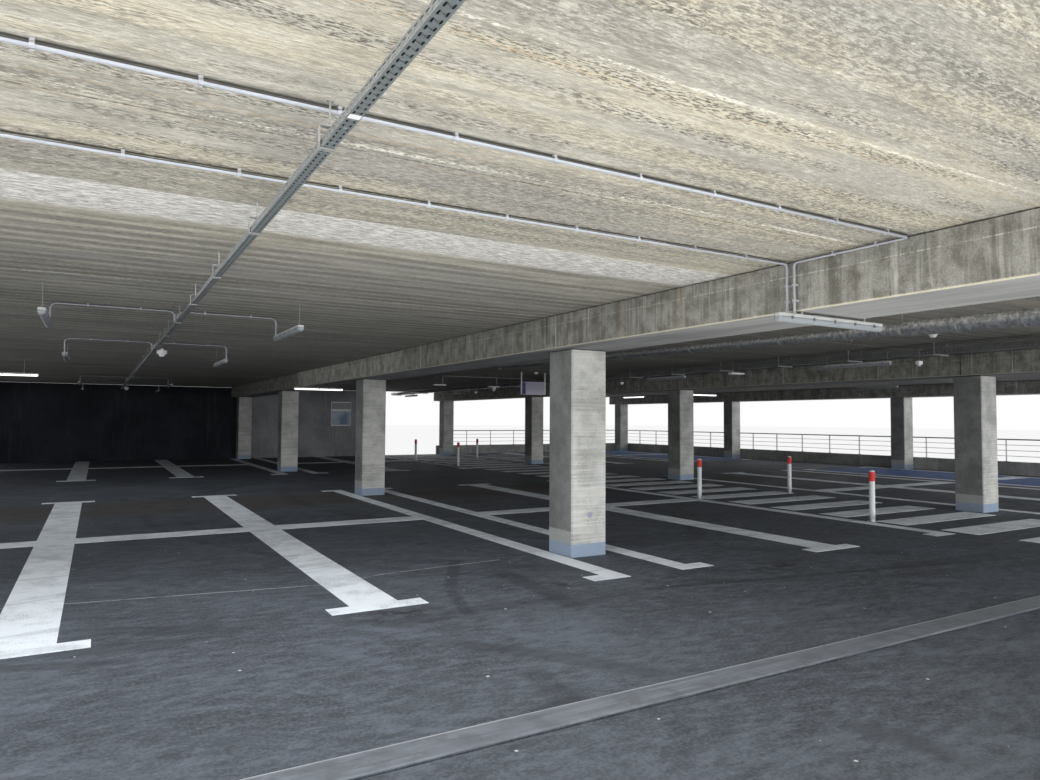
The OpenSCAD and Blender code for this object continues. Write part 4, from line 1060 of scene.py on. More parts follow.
# The wide tray's zinc is a much darker copy of the same sheet: painted shade of the deep interior.
wide_zinc_painted_shade = zinc_finish("wide_zinc_painted_shade", 140.0, (0.10, 0.106, 0.105), (0.16, 0.168, 0.166), 0.35, 0.30)
hanger_zinc = zinc_finish("hanger_zinc", 120.0, (0.33, 0.34, 0.34), (0.50, 0.51, 0.50), 0.35, 0.40)
rail_zinc = zinc_finish("rail_zinc", 60.0, (0.36, 0.37, 0.38), (0.52, 0.53, 0.54), 0.40, 0.60)
dress(rail_zinc, "floor_railings", "upper_railings")

# %% [markdown]
# Conduit, light housings and detectors are moulded plastic. New it is even, but after years in a car
# park it carries a grey film on top and faint streaks, so the plastic finish mixes those in. The
# conduit also gets a painted shade along its upper side.

# %% Plastic


def plastic_finish(name, clean, film, film_share=0.4, roughness=0.38, specular=0.45, top_painted_shade=0.0):
    plastic, r, place, facing = new_finish(name, roughness, 0.0, specular)
    cloud = r.ramp(r.noise(place, 7.0, 3.0, 0.65), 0.35, 0.70)
    top = r.ramp(r.axes(facing)[2], -0.2, 0.9)
    share = r.times(r.plus(r.times(cloud, 0.6), r.times(top, 0.5)), film_share)
    speck = r.noise(place, 220.0, 1.0, 0.6)
    tone = r.mix(share, clean, film)
    tone = r.over(tone, film, r.ramp(speck, 0.62, 0.74, 0.0, 0.35))
    # Faces that look up can be painted dark: a painted shade along the upper side, used on the conduits.
    if top_painted_shade:
        tone = r.over(tone, (0.06, 0.058, 0.055), r.ramp(r.axes(facing)[2], -0.02, 0.30, 0.0, top_painted_shade))
    rough = r.plus(roughness, r.times(cloud, 0.16))
    return end_finish(plastic, tone, roughness=rough, height=speck, depth=0.0002)


conduit_plastic = plastic_finish("conduit_plastic", (0.41, 0.425, 0.47), (0.26, 0.27, 0.30), 0.35,
                                 top_painted_shade=0.9)
clip_plastic = plastic_finish("clip_plastic", (0.46, 0.47, 0.50), (0.28, 0.29, 0.31), 0.4)
housing_plastic = plastic_finish("housing_plastic", (0.47, 0.48, 0.47), (0.33, 0.34, 0.34), 0.45)
cover_plastic = plastic_finish("cover_plastic", (0.27, 0.295, 0.315), (0.20, 0.215, 0.225), 0.45, 0.30)
white_plastic = plastic_finish("white_plastic", (0.78, 0.79, 0.80), (0.52, 0.53, 0.54), 0.3)
latch_plastic = plastic_finish("latch_plastic", (0.10, 0.105, 0.11), (0.20, 0.20, 0.20), 0.5)

lit_cover, r, place, facing = new_finish("lit_cover", 0.3)
lit_shader = lit_cover.node_tree.nodes["Principled BSDF"]
lit_shader.inputs["Emission Strength"].default_value = 2.2
haze = r.ramp(r.noise(place, 9.0, 2.0, 0.6), 0.3, 0.7)
glow = r.mix(haze, (1.0, 0.98, 0.92), (0.86, 0.87, 0.86))
lit_cover.node_tree.links.new(glow, lit_shader.inputs["Emission Color"])
lit_cover.cycles.emission_sampling = "NONE"
end_finish(lit_cover, glow)

# %% [markdown]
# ## Narrow cable tray
#
# The tray over the camera is folded from punched sheet: two rows of long slots in its base, a small
# cross slot between them, and two rows of short slots in each side. One length of the pattern is cut
# from a plane, its sides are pulled up and its lips folded in. An Array repeats it, and Solidify gives
# the sheet its thickness. Only the stretch near the camera has all its slots, the rest has the two rows.

# %% Narrow tray
TRAY_SLOT_PITCH = 0.0415
TRAY_LIP = 0.012
SHEET = 0.0016
SLOT_ROW, SLOT_CHAMFER = (0.0085, 0.0330), 0.0022
SIDE_SLOTS = [(0.0070, 0.0120), (0.0200, 0.0250)]
FULL_COLUMNS = [(-0.0170, -0.0095), (0.0095, 0.0170)]
PLAIN_COLUMNS = [(-0.0160, -0.0100), (0.0100, 0.0160)]
tray_low, tray_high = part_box("cable_tray")
tray_x = (tray_low.x + tray_high.x) / 2
tray_w = tray_high.x - tray_low.x - SHEET
tray_h = tray_high.z - tray_low.z - SHEET


def sheet_channel(name, width, height, pitch, lip):
    """One pitch of a folded tray, along Y from 0, its base at z 0."""
    piece = sheet(name, width, pitch, (0.0, pitch / 2, 0.0))
    for side in (-1, 1):
        pick("EDGE", lambda m, w: m.x * side > width / 2 - 0.001 and m.z < 0.001 and abs(w.y) > 0.9)
        pull(z=height)
        pull(x=-side * lip)
    return piece


def within(value, ranges):
    return any(low < value < high for low, high in ranges)


def on_base(m, n):
    """For pick and cut: true of the faces of a tray's base."""
    return m.z < 0.001


def punch(columns, rows, chamfer=0.0):
    """Deletes the base's faces inside the column and row ranges, with clipped corners."""
    def slot(m, n):
        return on_base(m, n) and abs(n.z) > 0.9 and within(m.x, columns) and within(m.y, rows)

    if chamfer:
        pick("FACE", slot)
        bpy.ops.mesh.select_mode(type="VERT")
        bpy.ops.mesh.bevel(offset=chamfer, segments=1, affect="VERTICES")
    open_up(slot)


def repeat_along(piece, pitch, count, start_y, x, z):
    """Repeats one pitch along Y, welds the joints and moves it to its place."""
    leave()
    modify(piece, "ARRAY", count=count, use_relative_offset=False, use_constant_offset=True,
           constant_offset_displace=(0.0, pitch, 0.0), use_merge_vertices=True, merge_threshold=0.0001)
    piece.data.transform(Matrix.Translation((x, start_y, z)))
    return piece


def narrow_length(name, start_y, count, full):
    """A stretch of tray. A full one has clipped slots, cross slots and slotted sides."""
    piece = sheet_channel(name, tray_w, tray_h, TRAY_SLOT_PITCH, TRAY_LIP)
    columns = FULL_COLUMNS if full else PLAIN_COLUMNS
    edges = [x for column in columns for x in column]
    if full:
        cut(X, edges)
        cut(Y, SLOT_ROW)
        cut(Z, [z for pair in SIDE_SLOTS for z in pair])
        punch(columns, [SLOT_ROW], SLOT_CHAMFER)
        open_up(lambda m, n: abs(n.x) > 0.9 and within(m.z, SIDE_SLOTS) and within(m.y, [SLOT_ROW]))
        inset(lambda m, n: abs(m.x) < 0.001 and on_base(m, n) and within(m.y, [SLOT_ROW]), 0.0074)
        squeeze(1.7, 0.38, 1.0, (0.0, sum(SLOT_ROW) / 2, 0.0))
        bpy.ops.mesh.delete(type="FACE")
    else:
        cut(X, edges, on_base)
        for y in SLOT_ROW:
            for column in columns:
                cut(Y, [y], lambda m, n: on_base(m, n) and within(m.x, [column]))
        punch(columns, [SLOT_ROW])
    return repeat_along(piece, TRAY_SLOT_PITCH, count, start_y, tray_x, tray_low.z + SHEET / 2)


BACK_COUNT, NEAR_COUNT = 50, 190
near_start = tray_low.y + BACK_COUNT * TRAY_SLOT_PITCH
far_start = near_start + NEAR_COUNT * TRAY_SLOT_PITCH
far_count = int((tray_high.y - far_start) / TRAY_SLOT_PITCH)
lengths = [
    narrow_length("tray_back", tray_low.y, BACK_COUNT, False),
    narrow_length("tray_near", near_start, NEAR_COUNT, True),
    narrow_length("tray_far", far_start, far_count, False),
]
narrow_tray = modify(joined("narrow_tray", lengths, smooth=0), "SOLIDIFY", thickness=SHEET, offset=0.0)
done("narrow_tray", [narrow_tray], tray_zinc, "tray_steel", "cable_tray", smooth=0)

# %% [markdown]
# Black cables lie in the tray from end to end, which is why its slots look dark from below. They are
# held by the tray all the way, so they are plain straight tubes.

# %% Cables in the tray
CABLE = 0.0095
sheath = plastic_finish("cable_sheath", (0.016, 0.016, 0.018), (0.045, 0.045, 0.044), 0.5, 0.55, 0.3)
cable_z = tray_low.z + SHEET + CABLE / 2 + 0.0003
cables = []
for k, across in enumerate((-0.0145, -0.0045, 0.0055, 0.0155)):
    points = [(tray_x + across, tray_low.y + 0.02, cable_z), (tray_x + across, tray_high.y - 0.02, cable_z)]
    cables.append(tube("cable_%d" % k, points, CABLE / 2, 0.0, 8))
done("tray_cables", cables, sheath, "tray_steel", "cable_tray")

# %% [markdown]
# Two small things sit under it: a blank white label stuck across the base, and a bolt head where two
# lengths are joined.

# %% Label and joint bolt
label_y, bolt_y = 2.42 - EYE_BACK, 2.53 - EYE_BACK
LABEL = Vector((0.021, 0.018, 0.0006))
label = stood("tray_label", tray_x, label_y, LABEL.x, LABEL.y, tray_low.z - LABEL.z, tray_low.z)
soften(label, 0.0002, 1)
paint(label, white_plastic)
bolt = nut("tray_bolt", tray_x, bolt_y, tray_low.z - 0.002, 0.013, 0.004)
paint(bolt, hanger_zinc)
done("tray_label", [label, bolt], None, "tray_steel")

# %% [markdown]
# ## Wide cable tray
#
# The tray along the third column row is the same sheet, wider and deeper, and always more than ten
# metres from the eye. Its slots are simple rectangles, three rows in the base and two in each side.

# %% Wide tray
WIDE_PITCH = 0.0625
wide_low, wide_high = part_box("wide_cable_tray")
wide_x = (wide_low.x + wide_high.x) / 2
wide_w = wide_high.x - wide_low.x - SHEET
wide_h = wide_high.z - wide_low.z - SHEET
wide_tray = sheet_channel("wide_tray", wide_w, wide_h, WIDE_PITCH, 0.014)
wide_columns = [(-0.105, -0.090), (-0.0075, 0.0075), (0.090, 0.105)]
wide_sides = [(0.022, 0.036), (0.054, 0.068)]
wide_row = (0.012, 0.050)
cut(Y, wide_row)
cut(X, [x for pair in wide_columns for x in pair], on_base)
cut(Z, [z for pair in wide_sides for z in pair], aligned(X))
punch(wide_columns, [wide_row])
open_up(lambda m, n: abs(n.x) > 0.9 and within(m.z, wide_sides) and within(m.y, [wide_row]))
wide_count = int((wide_high.y - wide_low.y) / WIDE_PITCH)
repeat_along(wide_tray, WIDE_PITCH, wide_count, wide_low.y, wide_x, wide_low.z + SHEET / 2)
modify(wide_tray, "SOLIDIFY", thickness=SHEET, offset=0.0)
done("wide_tray", [wide_tray], wide_zinc_painted_shade, "tray_steel", "wide_cable_tray", smooth=0)

# %% [markdown]
# ## Tray hangers
#
# The narrow tray lies in brackets that are open on one side, bent from a strip with folded edges, each
# on one threaded rod. The wide tray lies on slotted rails between two rods. One of each is modelled at
# the origin and copied to each place. The places come from the CAD node: its bracket feet are found
# among the vertices that touch the soffit.

# %% Bracket on one rod
ARM_LOW, ARM_TOP = -0.001, 0.085
ARM_LONG, ARM_WIDE, ARM_ROD_X = 0.056, 0.028, 0.008
bracket = sheet("bracket", ARM_LONG, ARM_WIDE, (-0.004, 0.0, ARM_LOW))
pick("EDGE", lambda m, w: m.x < -0.031)
pull(z=ARM_TOP - ARM_LOW)
pull(x=ARM_LONG)
cut(X, (-0.026, -0.004))
cut(Y, (-0.010, -0.004, 0.004, 0.010), lambda m, n: m.z > ARM_TOP - 0.001)
open_up(lambda m, n: m.z > ARM_TOP - 0.001 and -0.026 < m.x < -0.004 and 0.004 < abs(m.y) < 0.010)
folds = [
    (lambda m: m.z < ARM_LOW + 0.001, (0.0, 0.0, -0.006)),
    (lambda m: m.x < -0.0315 and ARM_LOW + 0.001 < m.z < ARM_TOP - 0.001, (-0.003, 0.0, 0.0)),
    (lambda m: m.x > -0.0315 and m.z > ARM_TOP - 0.001, (0.0, 0.0, 0.004)),
]
for rule, way in folds:
    for side in (-1, 1):
        pick("EDGE", lambda m, w: m.y * side > ARM_WIDE / 2 - 0.0001 and rule(m) and abs(w.y) < 0.1)
        pull(*way)
leave()
modify(bracket, "SOLIDIFY", thickness=0.002, offset=0.0)
soften(bracket, 0.0005, 1)
drop_to_soffit = soffit_z - tray_low.z
foot = block("foot", (-0.006, -0.0078, drop_to_soffit - 0.004), (0.022, 0.0078, drop_to_soffit))
soften(foot, 0.001, 2)
nuts = [(ARM_TOP + 0.005, 0.006), (ARM_TOP - 0.005, 0.006), (drop_to_soffit - 0.0075, 0.007)]
narrow_hanger = joined("narrow_hanger", [
    bracket, foot, rod("rod", ARM_ROD_X, 0.0, ARM_TOP - 0.012, drop_to_soffit - 0.003, 0.004),
    *[nut("nut", ARM_ROD_X, 0.0, z, 0.013, height) for z, height in nuts]])
print("bracket hanger", len(narrow_hanger.data.polygons), "faces")

# %% Rail on two rods
RAIL_LOW, RAIL_WIDE, RAIL_SLOT, SLOT_STEP = -0.021, 0.039, 0.028, 0.05
rail_half = (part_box("tray_hangers")[1].x - wide_x) - 0.006
rail = sheet("rail", 2 * rail_half, RAIL_WIDE, (0.0, 0.0, RAIL_LOW + 0.001))
for side in (-1, 1):
    pick("EDGE", lambda m, w: m.y * side > RAIL_WIDE / 2 - 0.0005 and m.z < RAIL_LOW + 0.002)
    pull(z=0.018)
    pull(y=-side * 0.008)
    pull(z=-0.005)
rail_slots = [(-0.16 + SLOT_STEP * k, -0.16 + SLOT_STEP * k + RAIL_SLOT) for k in range(7)]
cut(X, [x for pair in rail_slots for x in pair], lambda m, n: abs(n.z) > 0.9 and m.z < RAIL_LOW + 0.002)
cut(Y, (-0.006, 0.006), lambda m, n: abs(n.z) > 0.9 and m.z < RAIL_LOW + 0.002)
open_up(lambda m, n: m.z < RAIL_LOW + 0.002 and abs(m.y) < 0.006 and within(m.x, rail_slots))
leave()
modify(rail, "SOLIDIFY", thickness=0.002, offset=0.0)
wide_drop = soffit_z - wide_low.z
nut_levels = (wide_drop - 0.010, 0.003, RAIL_LOW + 0.005)
rail_parts = [rail]
for side in (-1, 1):
    rod_x = side * (rail_half - 0.008)
    plate = stood("foot", rod_x, 0.0, 0.019, 0.019, wide_drop - 0.006, wide_drop)
    soften(plate, 0.0015, 2)
    rail_parts += [plate, rod("rod", rod_x, 0.0, RAIL_LOW, wide_drop - 0.004, 0.005),
                   *[nut("nut", rod_x, 0.0, z, 0.017, 0.008) for z in nut_levels]]
wide_hanger = joined("wide_hanger", rail_parts)
print("rail hanger", len(wide_hanger.data.polygons), "faces")

# %% Copy the hangers to their places


def soffit_feet(node, low_x, high_x, gap=0.2):
    """Middles, along Y, of the CAD node's groups of vertices that touch the soffit."""
    touching = [v.co for v in nodes[node].data.vertices if abs(v.co.z - soffit_z) < 0.0005]
    found = sorted(co.y for co in touching if low_x < co.x < high_x)
    groups = [[found[0]]]
    for y in found[1:]:
        if y - groups[-1][-1] > gap:
            groups.append([])
        groups[-1].append(y)
    return [(g[0] + g[-1]) / 2 for g in groups]


bracket_y = soffit_feet("tray_hangers", tray_x - 0.1, tray_x + 0.1)
rail_y = soffit_feet("tray_hangers", wide_x - 0.4, wide_x)
hangers = [copy_of(narrow_hanger, (tray_x, y, tray_low.z)) for y in bracket_y]
hangers += [copy_of(wide_hanger, (wide_x, y, wide_low.z)) for y in rail_y]
drop(narrow_hanger, wide_hanger)
print("brackets", len(bracket_y), "rails", len(rail_y))
done("hanger_set", hangers, hanger_zinc, "galvanised_steel", "tray_hangers")

# %% [markdown]
# ## Conduits
#
# Two conduits run along the soffit to the first beam, turn down its face and enter the light below.
# Shorter ones branch from the tray to the hung lights. Grey plastic clips hold them off the concrete.
# A clip is a short ring, open at its mouth, on a foot.

# %% Conduit clip
CONDUIT = 0.020
BEND = 0.060
CLIP_PITCH = 0.505
conduit_z = soffit_z - CONDUIT / 2 - 0.012

ring = begin("cylinder", "clip_ring", vertices=16, radius=CONDUIT / 2 + 0.0038, depth=0.016,
             end_fill_type="NOTHING", rotation=(0.0, QUARTER, 0.0))
edit(ring)
open_up(lambda m, n: m.z < -CONDUIT * 0.42)
for side in (-1, 1):
    pick("EDGE", lambda m, w: abs(w.x) > 0.9 and m.z < -CONDUIT * 0.40 and m.y * side > 0)
    pull(y=side * 0.004, z=-0.003)
leave()
modify(ring, "SOLIDIFY", thickness=0.0025, offset=0.0)
clip_foot = block("clip_foot", (-0.008, -0.010, 0.009), (0.008, 0.010, CONDUIT / 2 + 0.012))
edit(clip_foot)
pick("FACE", aligned(Z, 1))
squeeze(1.0, 1.3, 1.0)
leave()
soften(clip_foot, 0.0008, 1)
clip = paint(joined("clip", [ring, clip_foot]), clip_plastic)


def conduit(points, bend=BEND):
    return paint(tube("conduit", points, CONDUIT / 2, bend), conduit_plastic)


def clips_between(start, stop, y, shift=0.0):
    """Clips on a run along X, evenly spaced and set in from both ends."""
    count = int((stop - start - 0.30) / CLIP_PITCH)
    lead = (stop - start - count * CLIP_PITCH) / 2 + shift
    return [copy_of(clip, (start + lead + k * CLIP_PITCH, y, conduit_z)) for k in range(count + 1)]


# %% Conduits on the soffit
run_low, run_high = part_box("ceiling_conduits")
DROP_GAP = 0.068
run_y = (run_low.y + 0.018, run_high.y - 0.018)
drop_x = run_high.x - CONDUIT / 2
drops = (run_y[1] - DROP_GAP, run_y[1])
parts = [
    conduit([(run_low.x, run_y[0], conduit_z), (drop_x, run_y[0], conduit_z),
             (drop_x, drops[0], conduit_z), (drop_x, drops[0], run_low.z)], BEND / 2),
    conduit([(run_low.x, run_y[1], conduit_z), (drop_x, run_y[1], conduit_z),
             (drop_x, drops[1], run_low.z)], BEND / 2),
]
for y, shift in zip(run_y, (0.13, -0.09)):
    parts += clips_between(run_low.x, drop_x - 3 * CONDUIT, y, shift)
for at in (0.25, 0.62):
    parts.append(copy_of(clip, (drop_x, run_y[0] + at * (drops[0] - run_y[0]), conduit_z), QUARTER))
for y in drops:
    for z in (run_low.z + 0.10, run_low.z + 0.22):
        saddle = copy_of(clip)
        saddle.data.transform(Matrix.Rotation(QUARTER, 4, "Y"))
        saddle.data.transform(Matrix.Translation((drop_x, y, z)))
        parts.append(saddle)
        pad = block("saddle_pad", (drop_x + 0.018, y - 0.012, z - 0.008),
                    (drop_x + 0.040, y + 0.012, z + 0.008))
        parts.append(paint(soften(pad, 0.001, 1), clip_plastic))
done("soffit_conduits", parts, None, "conduit_grey", "ceiling_conduits")

# %% Branch conduits
WEST_ENDS = [(-6.0, -1), (-2.05, 1), (9.5, -1), (13.45, 1)]
WEST_LIGHT_X = (-10.66, -8.36)
LIGHT_TOP = floor_z + 2.59
PLATE_Y, PLATE_Z = 3.41, 2.835
hook_x = wide_low.x - 0.055
parts = []
for end_y, way in WEST_ENDS:
    for light_x in WEST_LIGHT_X:
        side = 1 if light_x > tray_x else -1
        y = end_y - way * 0.0103
        tray_end = tray_x + side * (CONDUIT / 2 + 0.005)
        parts.append(conduit([(light_x, y, LIGHT_TOP - 0.034), (light_x, y, conduit_z),
                              (tray_end, y, conduit_z), (tray_end, y, tray_high.z)]))
        parts += clips_between(min(light_x, tray_end), max(light_x, tray_end), y)
PLATE_FEED_X = (-1.96, -0.26)
for x, *rest in ((PLATE_FEED_X[0], (hook_x, PLATE_Y, conduit_z)), (PLATE_FEED_X[1],)):
    parts.append(conduit([(x, PLATE_Y, PLATE_Z + 0.015), (x, PLATE_Y, conduit_z), *rest]))
parts += clips_between(PLATE_FEED_X[0], hook_x, PLATE_Y)
done("branch_set", parts, None, "conduit_grey", "branch_conduits")
drop(clip)

# %% [markdown]
# ## Strip lights
#
# Each is a damp-proof light: a grey housing, a dark seal, a frosted half-round cover and latches along
# the seal. One is modelled at the origin along Y, with its top at zero, and copied to every place.
# Under the beams it sits on two steel feet. Elsewhere it hangs on thin rods.

# %% Housing, seal and cover
LIGHT_LONG = 1.27
SEAL_Z = -0.027
THIN_ROD = 0.003
HOUSING_HALF, SEAL_HALF = (0.034, 0.630), (0.0355, 0.632)
COVER_RADIUS, COVER_LONG = 0.0345, 1.225
COVER_ENDS = [(0.009, 0.95), (0.007, 0.86), (0.004, 0.68)]

housing = stood("housing", 0.0, 0.0, *HOUSING_HALF, SEAL_Z + 0.002, 0.0)
round_corners(housing, 0.020, 4)
inset(aligned(Z, 1), 0.004)
squeeze(0.72, 0.988)
inset(lambda m, n: n.z > 0.9 and abs(m.x) < 0.003 and abs(m.y) < 0.01, 0.008)
pull(z=-0.003)
inset(aligned(Z, -1), 0.003)
leave()
soften(housing, 0.002, 2, 30.0)

seal = stood("seal", 0.0, 0.0, *SEAL_HALF, SEAL_Z - 0.002, SEAL_Z + 0.002)
round_corners(seal, 0.021, 4)
leave()

cover = begin("cylinder", "cover", vertices=28, radius=COVER_RADIUS, depth=COVER_LONG,
              location=(0.0, 0.0, SEAL_Z - 0.005), rotation=(QUARTER, 0.0, 0.0))
edit(cover)
bpy.ops.mesh.select_all(action="SELECT")
bpy.ops.mesh.bisect(plane_co=(0.0, 0.0, SEAL_Z - 0.002), plane_no=(0.0, 0.0, 1.0), clear_outer=True,
                    use_fill=True)
for side in (-1, 1):
    for step, shrink in COVER_ENDS:
        pick("FACE", lambda m, n: n.y * side > 0.95)
        pull(y=side * step)
        squeeze(shrink, 1.0, shrink, (0.0, 0.0, SEAL_Z - 0.002))
leave()
paint(housing, housing_plastic)
paint(seal, latch_plastic)
paint(cover, cover_plastic)

# %% Latches
LATCHES, LATCH_PITCH, LATCH_X = 5, 0.25, 0.0366
latch = block("latch", (-0.0018, -0.011, -0.011), (0.0018, 0.011, 0.011))
edit(latch)
inset(aligned(X, 1), 0.003)
pull(x=0.0012)
pick("FACE", aligned(Z, -1))
pull(x=0.002, z=-0.003)
leave()
soften(latch, 0.0006, 1)
latches = []
for k in range(LATCHES):
    y = (k - (LATCHES - 1) / 2) * LATCH_PITCH
    latches.append(copy_of(latch, (LATCH_X, y, SEAL_Z - 0.001)))
    latches.append(copy_of(latch, (-LATCH_X, y, SEAL_Z - 0.001), math.pi))
drop(latch)
latch_set = paint(joined("latch_set", latches + [seal]), latch_plastic)
print("one light has", sum(len(p.data.polygons) for p in (housing, cover, latch_set)), "faces")

# %% Feet, rods and hooks
foot_strap = sheet("foot_strap", 0.056, 0.020, (0.0, 0.0, 0.021))
for side in (-1, 1):
    pick("EDGE", lambda m, w: m.x * side > 0.027 and m.z > 0.02)
    pull(x=-side * 0.001, z=-0.034)
leave()
modify(foot_strap, "SOLIDIFY", thickness=0.002, offset=0.0)
soften(foot_strap, 0.0006, 1)


def hung_rod(x, y, top):
    """A thin rod from a light's housing up to a small plate or hook."""
    plate = stood("rod_plate", x, y, 0.012, 0.016, LIGHT_TOP - 0.001, LIGHT_TOP + 0.003)
    return [rod("light_rod", x, y, LIGHT_TOP - 0.006, top, THIN_ROD), soften(plate, 0.001, 1),
            nut("rod_nut", x, y, LIGHT_TOP + 0.006, 0.010, 0.005)]


def tray_hook(y, low):
    """A strip bolted to the wide tray's side, with a rod down from it."""
    level = wide_high.z - 0.018
    strip = sheet("hook", 0.058, 0.016, (wide_low.x - 0.033, y, level))
    pick("EDGE", lambda m, w: m.x > wide_low.x - 0.005)
    pull(x=0.003)
    pull(z=0.016)
    pick("EDGE", lambda m, w: m.x < wide_low.x - 0.061)
    pull(z=0.008)
    leave()
    modify(strip, "SOLIDIFY", thickness=0.002, offset=0.0)
    return [strip, rod("hook_rod", hook_x, y, low, level + 0.010, THIN_ROD),
            nut("hook_nut", hook_x, y, level + 0.005, 0.010, 0.005),
            nut("hook_nut", hook_x, y, level - 0.005, 0.010, 0.005)]


# %% Lights along the spans
EAST_LIGHT_X = 8.70
MID_LIGHTS = [-7.25, -2.45, 8.25, 13.05]
LIT = [(EAST_LIGHT_X, 8.25), (-5.165, 4.186), (-11.97, 3.816), (8.20, 3.816)]


class Lights:
    """Gathers the copies of the light's three parts, and their fittings, into four pieces."""

    def __init__(self):
        self.bodies, self.covers, self.latches, self.fittings = [], [], [], []

    def put(self, x, y, top, turn=0.0):
        self.bodies.append(copy_of(housing, (x, y, top), turn))
        glow = copy_of(cover, (x, y, top), turn)
        if any(math.dist((x, y), at) < 0.01 for at in LIT):
            paint(glow, lit_cover)
        self.covers.append(glow)
        self.latches.append(copy_of(latch_set, (x, y, top), turn))

    def gather(self, name, node):
        for tail, parts in (("_housings", self.bodies), ("_covers", self.covers),
                            ("_latches", self.latches)):
            done(name + tail, parts, None, "light_white", node)
        done(name + "_fittings", self.fittings, hanger_zinc, "galvanised_steel", node)


hung = Lights()
for end_y, way in WEST_ENDS:
    for x in WEST_LIGHT_X:
        hung.put(x, end_y + way * LIGHT_LONG / 2, LIGHT_TOP)
        hung.fittings += hung_rod(x, end_y + way * (LIGHT_LONG - 0.09), soffit_z)
for y in MID_LIGHTS:
    hung.put(hook_x, y, LIGHT_TOP)
    hung.put(EAST_LIGHT_X, y, LIGHT_TOP)
    for side in (-1, 1):
        end = y + side * (LIGHT_LONG / 2 - 0.06)
        hung.fittings += tray_hook(end, LIGHT_TOP - 0.006)
        hung.fittings += hung_rod(EAST_LIGHT_X, end, soffit_z)
hung.gather("hung", "hung_lights")

# %% Lights across the aisles
AISLE_Y = (-11.314, 4.186)
FIXED_X, HUNG_X = (-5.165, 3.635), (-11.97, 8.20)
HUNG_BACK, HUNG_RISE, FOOT_H, FOOT_SPREAD = 0.370, 0.130, 0.022, 0.381
aisle = Lights()
for y in AISLE_Y:
    for x in FIXED_X:
        top = beam_low - FOOT_H
        aisle.put(x, y, top, QUARTER)
        feet = [(x + side * FOOT_SPREAD, y, top) for side in (-1, 1)]
        aisle.fittings += [copy_of(foot_strap, foot, QUARTER) for foot in feet]
    for x in HUNG_X:
        top = beam_low + HUNG_RISE - FOOT_H
        aisle.put(x, y - HUNG_BACK, top, QUARTER)
        for side in (-1, 1):
            rod_x = x + side * FOOT_SPREAD
            aisle.fittings += [copy_of(foot_strap, (rod_x, y - HUNG_BACK, top), QUARTER),
                               rod("aisle_rod", rod_x, y - HUNG_BACK, top + 0.018, soffit_z, THIN_ROD),
                               nut("aisle_nut", rod_x, y - HUNG_BACK, top + 0.026, 0.010, 0.005)]
for y in drops:
    gland = begin("cylinder", "gland", vertices=12, radius=0.0135, depth=0.022,
                  location=(drop_x, y, run_low.z + 0.004))
    aisle.fittings.append(soften(gland, 0.002, 1))
aisle.gather("aisle", "aisle_lights")
drop(housing, cover, latch_set, foot_strap)

# %% [markdown]
# ## Foil-wrapped drain pipe
#
# The pipe is wrapped in insulation with an aluminium skin that was put on by hand: it is dented all
# over, folded at the joints and closed with bands of bright tape whose ends have come loose. Each length
# is a cylinder with many rings, dented by two Displace modifiers, one for broad dents and one for
# small folds. It is made level and then sheared to the pipe's fall.

# %% Foil finish
foil, r, place, facing = new_finish("pipe_foil", 0.34, 0.50)
fold = r.streaks(place, (22.0, 30.0, 22.0), 3.0, 0.70, flat=False)
crease = r.cells(r.stretch(place, (26.0, 34.0, 26.0)), 1.0)["Distance"]
relief = r.plus(fold, r.times(crease, 0.5))
stain = r.ramp(r.streaks(place, (6.0, 3.0, 6.0), 3.0, 0.6, flat=False), 0.40, 0.66)
tone = r.mix(r.ramp(fold, 0.35, 0.65), (0.15, 0.165, 0.185), (0.30, 0.31, 0.325))
tone = r.over(tone, (0.12, 0.125, 0.14), stain, 0.35)
# Faces that look up are painted paler: a painted highlight along the pipe's upper side.
top_highlight = r.mix(r.ramp(fold, 0.42, 0.62), (0.44, 0.45, 0.46), (0.90, 0.91, 0.92))
tone = r.over(tone, top_highlight, r.ramp(r.axes(facing)[2], -0.35, 0.35, 0.0, 0.9))
end_finish(foil, tone, roughness=r.plus(0.28, r.times(stain, 0.20)), height=relief, depth=0.006)

tape, r, place, facing = new_finish("foil_tape", 0.30, 0.75)
ripple = r.streaks(place, (40.0, 90.0, 40.0), 2.0, 0.6, flat=False)
end_finish(tape, r.mix(r.ramp(ripple, 0.3, 0.7), (0.38, 0.39, 0.40), (0.58, 0.58, 0.575)), height=ripple,
           depth=0.004)

# %% Pipe lengths
DRAIN_X, DRAIN_FALL, COUPLING = -3.0, 0.016, 0.070
PIPE_SIDES = 40
DRAIN_LENGTHS = [(-9.90, -1.85, 0.0500), (-10.65, -9.90, 0.06375), (-15.60, -10.65, 0.0775)]


def drain_z(y):
    return floor_z + 2.475 + (y - front_y) * DRAIN_FALL


def dents(name, size):
    """A procedural texture for a Displace modifier."""
    texture = bpy.data.textures.new(name, "CLOUDS")
    texture.noise_scale = size
    texture.noise_depth = 2
    return texture


def ringed(piece, axis, count):
    """Cuts the edges along an axis into count + 1 parts, which gives the dents something to move."""
    edit(piece)
    pick("EDGE", aligned(axis))
    bpy.ops.mesh.subdivide(number_cuts=count)
    leave()


def dented(piece, texture, depth, middle=0.5):
    return modify(piece, "DISPLACE", texture=texture, texture_coords="LOCAL", strength=depth,
                  mid_level=middle)


broad_dents, small_folds = dents("broad_dents", 0.11), dents("small_folds", 0.032)


def sheared(piece):
    """Gives a level piece the pipe's fall and place."""
    fall = Matrix.Identity(4)
    fall[2][1] = DRAIN_FALL
    fall[2][3] = drain_z(0.0)
    fall[0][3] = DRAIN_X
    piece.data.transform(fall)
    return piece


